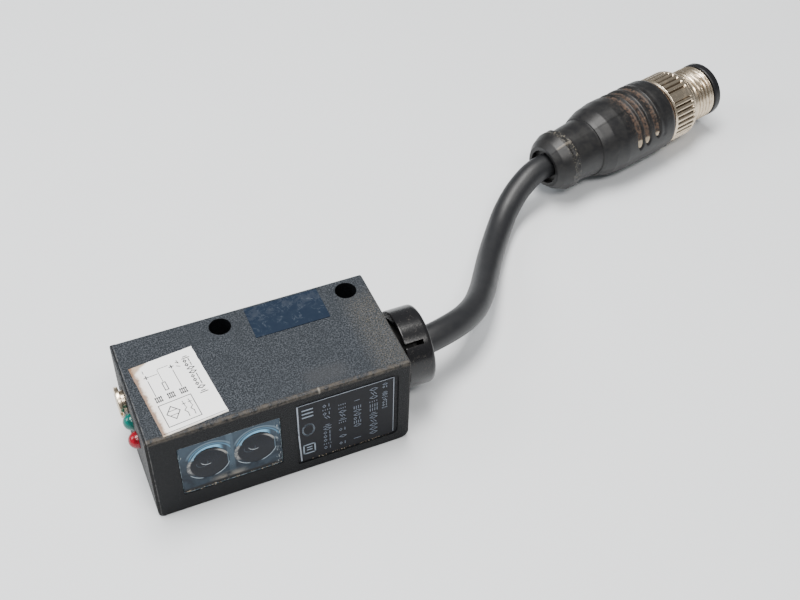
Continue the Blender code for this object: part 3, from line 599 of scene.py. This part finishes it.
def revolve(profile, columns, swell=None, closed=False):
    """Turn a profile of (height, radius) about z; swell(height, angle, radius) adds to the radius."""
    shape = bmesh.new()
    rows = []
    for height, radius in profile:
        if radius < 1e-6:
            rows.append([shape.verts.new((0.0, 0.0, height))])
            continue
        row = []
        for column in range(columns):
            angle = 2 * math.pi * column / columns
            reach = radius + (swell(height, angle, radius) if swell else 0.0)
            row.append(shape.verts.new((reach * math.cos(angle), reach * math.sin(angle), height)))
        rows.append(row)
    pairs = list(zip(rows, rows[1:]))
    if closed:
        pairs.append((rows[-1], rows[0]))
    for low, high in pairs:
        for column in range(columns):
            after = (column + 1) % columns
            face = [low[column % len(low)], low[after % len(low)], high[after % len(high)], high[column % len(high)]]
            corners = list(dict.fromkeys(face))
            if len(corners) > 2:
                shape.faces.new(corners)
    return shape


def drum(low, high, radius, columns=56):
    """A plain cylinder along z."""
    return revolve([Vector((low, 0.0)), Vector((low, radius)), Vector((high, radius)), Vector((high, 0.0))], columns)


def turns(count):
    """Angles evenly spaced around a circle."""
    return [2 * math.pi * step / count for step in range(count)]


def plate_outline(x0, x1, z0, z1, radii, steps=5):
    """A rectangle's outline with its own radius at each corner: low left, low right, high right, high left."""
    centres = ((x0 + radii[0], z0 + radii[0]), (x1 - radii[1], z0 + radii[1]),
               (x1 - radii[2], z1 - radii[2]), (x0 + radii[3], z1 - radii[3]))
    outline = []
    for corner, ((cx, cz), radius) in enumerate(zip(centres, radii)):
        for step in range(steps + 1):
            angle = math.pi + math.pi / 2 * (corner + step / steps)
            outline.append((cx + radius * math.cos(angle), cz + radius * math.sin(angle)))
    return outline


def slab(outline, low, high, to_space, edge=0.0, segments=3):
    """Extrude an outline between two depths; to_space(u, v, depth) gives each corner's place."""
    shape = bmesh.new()
    bottom = [shape.verts.new(to_space(u, v, low)) for u, v in outline]
    top = [shape.verts.new(to_space(u, v, high)) for u, v in outline]
    count = len(outline)
    caps = [shape.faces.new(bottom), shape.faces.new(top)]
    for index in range(count):
        after = (index + 1) % count
        shape.faces.new((bottom[index], bottom[after], top[after], top[index]))
    bmesh.ops.recalc_face_normals(shape, faces=shape.faces)
    if edge:
        rims = [e for face in caps for e in face.edges]
        bmesh.ops.bevel(shape, geom=rims, offset=edge, segments=segments, profile=0.5, affect="EDGES",
                        clamp_overlap=True)
    return shape


def upright(u, v, depth):
    """Outline in the X-Z plane, depth along Y."""
    return Vector((u, depth, v))


def flat(u, v, depth):
    """Outline in the X-Y plane, depth along Z."""
    return Vector((u, v, depth))


def tool(name, shape, place=None):
    """A shape that cuts another; it is removed when the cut is baked."""
    return piece_from(name, shape, None, body=None, place=place)


def carve(piece, adds=(), cuts=(), edge=0.0):
    """Apply unions, cuts and a last soft edge to a piece, and bake them into its mesh."""
    for operation, tools in (("UNION", adds), ("DIFFERENCE", cuts)):
        for other in tools:
            modifier = piece.modifiers.new("carve", "BOOLEAN")
            modifier.operation = operation
            modifier.solver = "EXACT"
            modifier.object = other
    if edge:
        modifier = piece.modifiers.new("soft edge", "BEVEL")
        modifier.width = edge * MM
        modifier.segments = 2
        modifier.limit_method = "ANGLE"
        modifier.angle_limit = math.radians(48.0)
        modifier.use_clamp_overlap = True
    bpy.context.view_layer.update()
    evaluated = piece.evaluated_get(bpy.context.evaluated_depsgraph_get())
    mesh = bpy.data.meshes.new_from_object(evaluated)
    piece.modifiers.clear()
    old = piece.data
    piece.data = mesh
    mesh.name = old.name
    bpy.data.meshes.remove(old)
    for other in (*adds, *cuts):
        bpy.data.objects.remove(other, do_unlink=True)
    return piece


def crisp(piece, crease=35.0):
    """Smooth shading that keeps flat faces flat."""
    piece.data.shade_smooth()
    piece.data.set_sharp_from_angle(angle=math.radians(crease))
    modifier = piece.modifiers.new("flat faces", "WEIGHTED_NORMAL")
    modifier.keep_sharp = True
    return piece


def strokes(shape, line, width, depth, to_space, closed=False):
    """Add a printed line to a shape: one thin bar for each stretch between two points."""
    points = [Vector(point) for point in line]
    ends = zip(points, points[1:] + points[:1] if closed else points[1:])
    for a, b in ends:
        way = (b - a).normalized() * width / 2
        side = Vector((-way.y, way.x))
        corners = [a - way - side, b + way - side, b + way + side, a - way + side]
        low = [shape.verts.new(to_space(p.x, p.y, depth[0])) for p in corners]
        high = [shape.verts.new(to_space(p.x, p.y, depth[1])) for p in corners]
        shape.faces.new(low[::-1])
        shape.faces.new(high)
        for index in range(4):
            after = (index + 1) % 4
            shape.faces.new((low[index], low[after], high[after], high[index]))


def smooth_way(route, spacing):
    """Points a given spacing apart on a Catmull-Rom curve through the route's own points."""
    ends = [2 * route[0] - route[1]] + list(route) + [2 * route[-1] - route[-2]]
    fine = []
    for a, b, c, d in zip(ends, ends[1:], ends[2:], ends[3:]):
        for step in range(20):
            t = step / 20
            fine.append(0.5 * ((2 * b) + (c - a) * t + (2 * a - 5 * b + 4 * c - d) * t ** 2
                               + (3 * b - a - 3 * c + d) * t ** 3))
    fine.append(route[-1].copy())
    length = sum((q - p).length for p, q in zip(fine, fine[1:]))
    count = round(length / spacing)
    points = [fine[0]]
    travelled = 0.0
    for p, q in zip(fine, fine[1:]):
        travelled += (q - p).length
        if travelled >= length * len(points) / count and len(points) < count:
            points.append(q)
    return points + [fine[-1]]


# ---------------------------------------------------------------- cable

def make_cable():
    data = bpy.data.curves.new("cable_jacket", "CURVE")
    data.dimensions = "3D"
    data.bevel_depth = CABLE_D / 2 * MM
    data.bevel_resolution = 12
    data.use_fill_caps = True
    spline = data.splines.new("POLY")
    points = [point * MM for point in smooth_way(ROUTE, 0.8)]
    spline.points.add(len(points) - 1)
    for target, point in zip(spline.points, points):
        target.co = (*point, 1.0)
    spline.use_smooth = True
    cable = in_scene("cable_jacket", data)
    data.materials.append(cable_look())
    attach(cable, "sensor")
    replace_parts(cable, "cable")
    length = sum((q - p).length for p, q in zip(points, points[1:]))
    return cable, length


# ---------------------------------------------------------------- housing and what is on it

def make_housing():
    outline = plate_outline(-END_X, END_X, 0.0, TOP_Z, (1.3, 1.6, 0.45, 0.3))
    shell = piece_from("housing_shell", slab(outline, -SIDE_Y, SIDE_Y, upright, edge=0.62, segments=5),
                       housing_look())
    gland_line = axis_place(GLAND, ALONG_X)
    neck = tool("neck", drum(20.9, 26.6, NECK_R, 64), place=gland_line)
    over_holes = [Matrix.Translation((x * MM, y * MM, 0.0)) for x, y in HOLES]
    hollow = tool("hollow", slab(plate_outline(-24.0, 20.3, 1.6, 18.2, (0.3,) * 4), -9.6, 9.6, upright))
    carve(hollow, cuts=[tool("boss", drum(-2.0, 22.0, BOSS_R, 48), place=place) for place in over_holes])
    cuts = [hollow] + [tool("drill", drum(-2.0, 22.0, HOLE_R), place=place) for place in over_holes]
    for name, outline, inner in (
            ("seat", plate_outline(*WINDOW, (0.35,) * 4), -SIDE_Y + 1.0),
            ("opening", plate_outline(-17.53, -1.02, 5.2, 15.1, (0.4,) * 4), -9.0),
            ("recess", plate_outline(1.9, 20.3, 2.1, 17.95, (0.6, 1.0, 1.2, 0.6)), -SIDE_Y + 0.18)):
        cuts.append(tool(name, slab(outline, -12.5, inner, upright)))
    cuts.append(tool("bore", drum(18.0, 28.0, 4.3), place=gland_line))
    carve(shell, adds=[neck], cuts=cuts, edge=0.14)
    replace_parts(crisp(shell), "housing")


def make_window():
    """A clear plate with a shallow lens bulge and a fine moulded bead for each optical channel."""
    material = window_look()
    plate = piece_from("window_plate", slab(plate_outline(-17.8, -0.75, 4.25, 16.05, (0.3,) * 4), -11.06, -10.35,
                                            upright, edge=0.14), material)
    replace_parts(crisp(plate), "lens_plate")
    rim = bmesh.new()
    outline = plate_outline(WINDOW[0] + 0.13, WINDOW[1] - 0.13, WINDOW[2] + 0.13, WINDOW[3] - 0.13, (0.3,) * 4, 3)
    strokes(rim, outline, 0.1, (-11.10, -11.0), upright, closed=True)
    piece_from("window_rim", rim, clear_look())
    for number, x in enumerate(LENS_XS, 1):
        dome = [Vector((-11.15 + 0.11 * (step / 20) ** 2, 3.5 * step / 20)) for step in range(21)]
        dome += [Vector((-10.95, 3.5)), Vector((-10.95, 0.0))]
        bead = [Vector((-11.06 + 0.035 * math.cos(a), 3.66 + 0.05 * math.sin(a))) for a in turns(8)]
        for name, shape, crease in ((f"lens_{number}", revolve(dome, 96), 40.0),
                                    (f"lens_bead_{number}", revolve(bead, 120, closed=True), None)):
            bmesh.ops.rotate(shape, verts=shape.verts, matrix=Matrix.Rotation(-math.pi / 2, 3, "X"))
            bmesh.ops.translate(shape, verts=shape.verts, vec=Vector((x + 0.1, 0.0, LENS_Z)))
            piece_from(name, shape, material, crease=crease)
    grit = bmesh.new()
    chance = random.Random(4)
    for _ in range(70):
        x = chance.uniform(WINDOW[0] + 0.2, WINDOW[1] - 0.2)
        size = chance.uniform(0.03, 0.10)
        spot = Matrix.Translation((x, chance.uniform(-11.15, -11.0), WINDOW[2] + chance.uniform(0.05, 0.45)))
        spot = spot @ Matrix.Diagonal((chance.uniform(1.0, 3.0), 1.0, 0.7, 1.0))
        bmesh.ops.create_icosphere(grit, subdivisions=1, radius=size, matrix=spot)
    for _ in range(45):
        x = chance.triangular(*PLATE, 14.0)
        size = chance.uniform(0.04, 0.11)
        spot = Matrix.Translation((x, chance.uniform(-11.12, -11.0), 2.35 + chance.uniform(-0.1, 0.2)))
        bmesh.ops.create_icosphere(grit, subdivisions=1, radius=size, matrix=spot)
    piece_from("seam_grit", grit, dirt_look())


def plain_mark(kind, w, h):
    """One of six plain marks, as lines inside a cell w wide and h high. None of them is a letter."""
    if kind == 0:
        return [[(w / 2, 0), (w, h / 2), (w / 2, h), (0, h / 2), (w / 2, 0)]]
    if kind == 1:
        return [[(0, 0), (0, h)], [(w * 0.6, h * 0.25), (w * 0.6, h * 0.75)]]
    if kind == 2:
        return [[(0, h * at), (w, h * at)] for at in (0.05, 0.35, 0.65, 0.95)]
    if kind == 3:
        return [[(w * 0.35, h * at), (w * 0.65, h * at)] for at in (0.1, 0.4, 0.7, 1.0)]
    if kind == 4:
        return [[(w / 2, h * 0.6), (w, h * 0.8), (w / 2, h), (0, h * 0.8), (w / 2, h * 0.6)],
                [(0, h * 0.2), (w, h * 0.2)]]
    return [[(0, h * 0.15), (w, h * 0.5)], [(0, h * 0.5), (w, h * 0.85)]]


def row_of_marks(shape, chance, start, length, height, width, depth, to_space, gaps=0.1):
    """A row of plain marks standing for a line of small print, which runs up from start."""
    travelled = 0.0
    cell = height * 0.5
    while travelled + cell < length:
        if chance.random() > gaps:
            for line in plain_mark(chance.randrange(6), cell, height):
                placed = [(start[0] - v, start[1] + travelled + u) for u, v in line]
                strokes(shape, placed, width, depth, to_space)
        travelled += cell * 1.5


def make_rating_print():
    """The plate's printed border and rows of plain marks, which run up the plate."""
    def draw(shape, points, width, closed=False):
        strokes(shape, points, width, PLATE_PRINT, upright, closed)

    border = bmesh.new()
    draw(border, [(2.62, 2.7), (2.36, 10.0), (2.34, 17.2)], 0.24)
    draw(border, [(2.34, 17.22), (19.42, 17.22), (19.46, 2.85)], 0.10)
    marks = bmesh.new()
    chance = random.Random(11)
    for foot, low, high, height in ((8.1, 3.9, 16.6, 1.35), (10.8, 3.8, 15.5, 1.25), (13.5, 7.3, 13.1, 1.3),
                                    (16.5, 3.9, 16.4, 1.4), (18.3, 9.9, 16.5, 0.9)):
        row_of_marks(marks, chance, (foot, low), high - low, height, 0.13, PLATE_PRINT, upright)
    draw(marks, [(12.2, 4.2), (13.4, 4.2)], 0.14)
    draw(marks, [(12.3, 14.3), (13.2, 14.3)], 0.14)
    symbols = bmesh.new()
    draw(symbols, [(3.1, 4.3), (5.1, 4.3), (5.1, 6.6), (3.1, 6.6)], 0.26, closed=True)
    for z in (5.2, 5.85):
        draw(symbols, [(3.75, z), (4.5, z)], 0.24)
    draw(symbols, [(4.1 + 1.0 * math.cos(a), 10.6 + 1.4 * math.sin(a)) for a in turns(20)], 0.28, closed=True)
    for z in (14.0, 14.9, 15.8):
        draw(symbols, [(3.2, z), (4.9, z)], 0.3)
    for name, shape, ink, backing, wear_at in (
            ("border", border, (0.32, 0.36, 0.42), (0.02, 0.02, 0.03), 0.58),
            ("marks", marks, (0.13, 0.16, 0.21), (0.012, 0.013, 0.018), 0.56),
            ("symbols", symbols, (0.22, 0.27, 0.33), (0.012, 0.013, 0.018), 0.62)):
        piece_from(f"plate_{name}", shape, ink_look(f"plate {name}", ink, backing, wear_at))


def label_place():
    centre = Vector((*LABEL_CENTRE, 0.0)) * MM
    return Matrix.Translation(centre) @ Matrix.Rotation(LABEL_TURN, 4, "Z")


def make_label():
    """The sheet has torn edges and lies just above the housing's top."""
    u, v = LABEL_HALF
    corners = [Vector(corner) for corner in ((-u, -v), (u, -v), (u, v), (-u, v))]
    outline = []
    for start, end in zip(corners, corners[1:] + corners[:1]):
        parts = round((end - start).length / 0.22)
        side = Vector(((end - start).y, -(end - start).x)).normalized()
        for part in range(parts):
            point = start.lerp(end, part / parts)
            ragged = noise.noise(Vector((point.x * 0.9, point.y * 0.9, 3.0))) * 0.06
            ragged += noise.noise(Vector((point.x * 5.0, point.y * 5.0, 9.0))) * 0.035
            outline.append(tuple(point + side * (ragged - 0.03)))
    shape = slab(outline, TOP_Z + 0.03, TOP_Z + 0.15, flat)
    piece = piece_from("label_sheet", shape, paper_look(), place=label_place(), crease=40.0)
    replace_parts(piece, "wiring_label")


def make_label_print():
    """A plain wiring sketch: a box with a diamond, two leads, a load, dashed lines and a row of plain marks."""
    depth = (TOP_Z + 0.14, TOP_Z + 0.172)
    shape = bmesh.new()

    def line(width, *points, closed=False):
        """A line whose points are given as parts of the label's width and height."""
        strokes(shape, [((a - 0.5) * 2 * LABEL_HALF[0], (b - 0.5) * 2 * LABEL_HALF[1]) for a, b in points], width,
                depth, flat, closed)

    line(0.14, (0.137, 0.088), (0.636, 0.088), (0.636, 0.39), (0.137, 0.39), closed=True)
    line(0.16, (0.19, 0.247), (0.291, 0.332), (0.392, 0.247), (0.291, 0.158), closed=True)
    line(0.12, (0.225, 0.274), (0.357, 0.274))
    line(0.12, (0.225, 0.216), (0.357, 0.216))
    for a in (0.475, 0.568):
        line(0.13, (a, 0.13), (a + 0.005, 0.18), (a - 0.025, 0.22), (a + 0.02, 0.25))
        line(0.12, (a + 0.01, 0.265), (a, 0.34))
        line(0.11, (a - 0.02, 0.305), (a + 0.03, 0.305))
    for a, low, high in ((0.175, 0.525, 0.75), (0.58, 0.525, 0.775)):
        line(0.12, (a, low), (a, high))
        line(0.17, (a, high + 0.03), (a, high + 0.075))
        line(0.17, (a - 0.03, high + 0.052), (a + 0.03, high + 0.052))
    line(0.15, (0.345, 0.555), (0.395, 0.555), (0.395, 0.665), (0.345, 0.665), closed=True)
    dashes = 6
    for start, end in (((0.37, 0.68), (0.37, 0.86)), ((0.21, 0.80), (0.36, 0.80)), ((0.38, 0.86), (0.55, 0.86))):
        start, end = Vector(start), Vector(end)
        for dash in range(dashes):
            line(0.11, start.lerp(end, dash / dashes), start.lerp(end, (dash + 0.5) / dashes))
    line(0.13, (0.665, 0.86), (0.70, 0.84), (0.69, 0.88))
    line(0.14, (0.70, 0.79), (0.655, 0.81))
    line(0.12, (0.165, 0.865), (0.165, 0.90))
    for a in (0.195, 0.385, 0.575):
        for offset in (-0.045, -0.016, 0.013, 0.042):
            line(0.17, (a + offset, 0.435), (a + offset, 0.505))
        for b in (0.445, 0.495):
            line(0.14, (a - 0.05, b), (a + 0.05, b))
    # Painted shadow: a thin dark line near the front edge for the shade under the folded margin.
    strokes(shape, [(-5.3, -7.42), (5.35, -7.42)], 0.09, depth, flat)
    row_of_marks(shape, random.Random(7), ((0.885 - 0.5) * 11.0, (0.355 - 0.5) * 15.7), 9.0, 1.2, 0.17, depth, flat,
                 0.0)
    piece_from("label_print", shape, ink_look("label ink and painted shadow", (0.035, 0.035, 0.038), (0.6, 0.59, 0.57), 0.70),
               place=label_place())


def make_film():
    """A thin wrinkled patch of film between the two screw holes."""
    x0, x1, y0, y1 = FILM
    shape = bmesh.new()
    columns, rows = 54, 30
    grid = {}
    for layer in (0, 1):
        for i in range(columns + 1):
            for j in range(rows + 1):
                u, v = i / columns, j / rows
                x = x0 + (x1 - x0) * u + (noise.noise(Vector((0.0, v * 9.0, 2.0))) * 0.03 if i in (0, columns) else 0)
                y = y0 + (y1 - y0) * v + (noise.noise(Vector((u * 12.0, 0.0, 5.0))) * 0.03 if j in (0, rows) else 0)
                edge = min(u, 1 - u, v, 1 - v)
                lift = 0.03 * noise.noise(Vector((x * 0.55, y * 0.3, 1.0))) * min(1.0, edge * 12)
                z = TOP_Z + (0.035 if layer == 0 else 0.105 + max(-0.03, lift))
                grid[layer, i, j] = shape.verts.new((x, y, z))

    def face(*corners):
        shape.faces.new([grid[corner] for corner in corners])

    for i in range(columns):
        for j in range(rows):
            face((1, i, j), (1, i + 1, j), (1, i + 1, j + 1), (1, i, j + 1))
            face((0, i, j), (0, i, j + 1), (0, i + 1, j + 1), (0, i + 1, j))
    for i in range(columns):
        for j in (0, rows):
            face((0, i, j), (0, i + 1, j), (1, i + 1, j), (1, i, j))
    for j in range(rows):
        for i in (0, columns):
            face((0, i, j), (0, i, j + 1), (1, i, j + 1), (1, i, j))
    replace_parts(piece_from("film_sheet", shape, film_look(), crease=50.0), "film_patch")


def make_end_fittings():
    """The end cover's plate, two lamps and the adjuster with its screwdriver slot."""
    def at_end(y):
        return axis_place(Vector((0.0, y, LAMP_Z)), ALONG_X)

    cover = piece_from("cover_shell", slab(plate_outline(*COVER, (1.2, 0.1, 0.1, 0.35)), -COVER_Y, COVER_Y, upright,
                                           edge=0.55, segments=4), housing_look())
    carve(cover, cuts=[tool("bore", drum(-24.0, -21.0, radius), place=at_end(y))
                       for y, radius in ((RED_Y, 1.58), (GREEN_Y, 1.58), (ADJUSTER_Y, 1.95))])
    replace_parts(crisp(cover), "end_cover")
    for name, y, dome_x, look in (
            ("red", RED_Y, -22.77, lamp_look("red lamp", (0.14, 0.0, 0.004), (0.36, 0.002, 0.018))),
            ("green", GREEN_Y, -22.63, lamp_look("green lamp", (0.0, 0.07, 0.06), (0.0, 0.16, 0.13)))):
        base = -18.95
        profile = rounded([(base, 0.0, 0), (base, 1.6, 0.1), (base - 1.0, 1.6, 0.1), (base - 1.0, LAMP_R, 0.05)],
                          steps=3)
        for step in range(9):
            angle = math.pi / 2 * step / 8
            profile.append(Vector((dome_x - LAMP_R * math.sin(angle), LAMP_R * math.cos(angle) if step < 8 else 0.0)))
        piece = piece_from(f"{name}_lamp", revolve(profile, 48), look, crease=40.0,
                           place=at_end(y))
        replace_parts(piece, f"{name}_led")
    profile = rounded([(-19.9, 0.0, 0), (-19.9, 1.9, 0.1), (-23.2, 1.9, 0.06), (-23.2, 2.7, 0.1),
                       (-23.9, 2.7, 0.16), (-23.9, 0.0, 0)])
    screw = piece_from("adjuster", revolve(profile, 72), nickel_look("adjuster nickel", (1.0, 1.0, 1.0)),
                       body="adjuster", place=at_end(ADJUSTER_Y))
    slot = slab(plate_outline(-3.5, 3.5, -0.4, 0.4, (0.1,) * 4), -24.5, -23.5,
                lambda u, v, depth: Vector((depth, ADJUSTER_Y + u, LAMP_Z + v)))
    carve(screw, cuts=[tool("driver_slot", slot)], edge=0.06)
    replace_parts(crisp(screw), "adjuster_screw")


# ---------------------------------------------------------------- gland and plug

def make_gland():
    place = axis_place(GLAND, ALONG_X)
    profile = rounded([(29.5, 2.9, 0.2), (29.5, 7.2, 0.85), (24.4, 7.2, 0.25), (24.4, 5.95, 0.1), (27.9, 5.95, 0.1),
                       (27.9, 2.9, 0.1)], closed=True, steps=6)
    cap = piece_from("gland_nut", revolve(profile, 96, closed=True),
                     smooth_black_look("gland plastic", (0.007, 0.007, 0.008), 0.23, (0.075, 0.066, 0.052), 0.5, 7.1),
                     place=place)
    slits = [tool("slit", slab(plate_outline(5.0, 8.5, -0.4, 0.4, (0.05,) * 4, 2), 23.0, 27.88, flat),
                  place=place @ Matrix.Rotation(math.radians(turn), 4, "Z")) for turn in (39.0, 219.0)]
    carve(cap, cuts=slits, edge=0.09)
    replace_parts(crisp(cap), "gland_cap")


def grip_swell(height, angle, radius):
    """Finger grooves on the upper side, the mould seam, and the chewed flash at the ridge."""
    turn = (angle + math.pi) % (2 * math.pi) - math.pi
    total = 0.0
    for centre, end in GROOVES:
        across = (height - centre) / 0.80
        if abs(across) < 2.2:
            reach = min(1.0, max(0.0, (end - 0.11 * across ** 2 - abs(turn - 0.15)) / 0.07))
            total -= 0.62 * math.exp(-across ** 6) * reach
    if 7.0 < radius and 26.9 < height < 29.0 and abs(turn - 0.15) < 1.3:
        total -= 0.12 * math.exp(-((height - 28.0) / 0.5) ** 2)
    seam = math.exp(-((turn - SEAM_ANGLE) * radius / 0.13) ** 2)
    if 0.3 < height < 20.0 and radius > 4.0:
        total += 0.09 * seam * (1.0 if height > 11.0 or height < 4.6 else 0.4)
    if 3.3 < height < 5.4 and radius > 5.0:
        total += 0.16 * noise.noise(Vector((math.cos(angle) * 4.0, math.sin(angle) * 4.0, height * 1.2)))
    if radius > 4.0:
        total += 0.035 * noise.noise(Vector((math.cos(angle) * 2.0, math.sin(angle) * 2.0, height * 0.35)))
    return total


def knurl_swell(height, angle, radius):
    low, high = KNURL
    if not low < height < high or radius < 7.0:
        return 0.0
    flat_spot = abs((angle - FLAT_SPOT_ANGLE + math.pi) % (2 * math.pi) - math.pi) < 0.13
    ends = min(1.0, (height - low) / 0.25, (high - height) / 0.3)
    wave = 0.5 + 0.5 * math.cos(angle * RIBS)
    return -0.42 * ends * (0.2 if flat_spot else 1.0 - min(1.0, wave * 1.7))


def thread_swell(height, angle, radius):
    low, high = THREAD
    if not low < height < high or radius < 5.2:
        return 0.0
    phase = (height / THREAD_PITCH - angle / (2 * math.pi)) % 1.0
    ends = min(1.0, (height - low) / 0.5, (high - height) / 0.5)
    return -0.5 * ends * (1.0 - min(1.0, 2.3 * abs(phase - 0.5)))


def make_plug():
    place = axis_place(PLUG_AT, PLUG_WAY)
    profile = rounded([
        (23.9, 0.0, 0), (23.9, 4.4, 0), (31.8, 4.4, 0.1), (31.8, 7.75, 0.25), (31.0, 8.0, 0.6), (28.0, 8.1, 2.0),
        (17.6, 8.1, 2.0), (14.4, 7.65, 1.5), (12.2, 6.9, 1.0), (11.45, 6.55, 0.2), (11.35, 6.3, 0.15),
        (5.35, 5.85, 0.3), (4.95, 6.42, 0.15), (3.3, 6.35, 1.0), (1.3, 5.5, 0.8), (0.0, 4.45, 0.3), (0.0, 3.6, 0.2),
        (1.2, 3.6, 0.1), (1.2, 0.0, 0)], steps=6)
    grip = piece_from("grip", revolve(dense(profile, 0.17), 176, grip_swell), grip_look(), place=place, crease=60.0)
    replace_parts(grip, "plug_grip")
    profile = rounded([
        (46.2, 4.7, 0.1), (46.2, 5.75, 0.3), (45.8, 6.0, 0.2), (40.6, 6.0, 0.1), (40.3, 6.3, 0.1), (39.0, 6.3, 0.15),
        (39.0, 7.3, 0.3), (38.2, 7.55, 0.2), (32.75, 7.55, 0.2), (32.4, 7.2, 0.2), (32.4, 5.9, 0.1), (33.7, 5.9, 0.1),
        (33.7, 4.7, 0.1)], closed=True, steps=3)
    shape = revolve(dense(profile, 0.16, closed=True), RIBS * 8,
                    lambda *where: knurl_swell(*where) + thread_swell(*where), closed=True)
    screw = piece_from("coupling", shape, nickel_look(grooved=True), body="coupling", place=place, crease=50.0)
    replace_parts(screw, "coupling_screw")
    profile = rounded([(48.2, 4.75, 0.2), (48.2, 6.05, 0.45), (46.4, 6.05, 0.35), (46.4, 4.75, 0.1)], closed=True,
                      steps=5)
    ring = piece_from("front_ring", revolve(profile, 96, closed=True),
                      smooth_black_look("ring rubber", (0.006, 0.006, 0.007), 0.38, (0.04, 0.038, 0.036), 0.3),
                      body="coupling", place=place, crease=40.0)
    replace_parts(ring, "end_ring")


# ---------------------------------------------------------------- CAD pieces that stay

def dress(material, *names):
    for name in names:
        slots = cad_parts[name].data.materials
        slots.clear()
        slots.append(material)


def dress_cad():
    dress(smooth_black_look("optics plastic", (0.03, 0.03, 0.032), 0.55, (0.07, 0.07, 0.07)), "optics_holder")
    dress(board_look(), "main_board", "end_board")
    dress(plate_look(), "rating_plate")
    dress(cable_look(), "cable_tail")
    dress(smooth_black_look("carrier plastic", (0.02, 0.02, 0.022), 0.4, (0.07, 0.07, 0.07), 0.3),
          "contact_carrier")
    for look, names in (
            (("chip plastic", (0.025, 0.025, 0.027), 0.5),
             "receiver_photodiode controller_chip output_transistor protection_diode wire_black"),
            (("emitter white", (0.8, 0.78, 0.7), 0.4), "emitter_led"),
            (("tinned sheet", (0.6, 0.6, 0.6), 0.38, 1.0), "shield_can capacitor"),
            (("potentiometer blue", (0.03, 0.12, 0.4), 0.4), "potentiometer"),
            (("rubber", (0.015, 0.015, 0.015), 0.7), "adjuster_seal cable_seal"),
            (("wire brown", (0.2, 0.08, 0.03), 0.45), "wire_brown"),
            (("wire blue", (0.03, 0.1, 0.5), 0.45), "wire_blue"),
            (("gold contact", (0.83, 0.62, 0.27), 0.25, 1.0),
             "contact_pin_1 contact_pin_2 contact_pin_3 contact_pin_4")):
        dress(plain_part_look(*look), *names.split())


make_camera()
cable_piece, cable_length = make_cable()
make_studio()
make_housing()
make_window()
make_rating_print()
make_label()
make_label_print()
make_film()
make_end_fittings()
make_gland()
make_plug()
dress_cad()
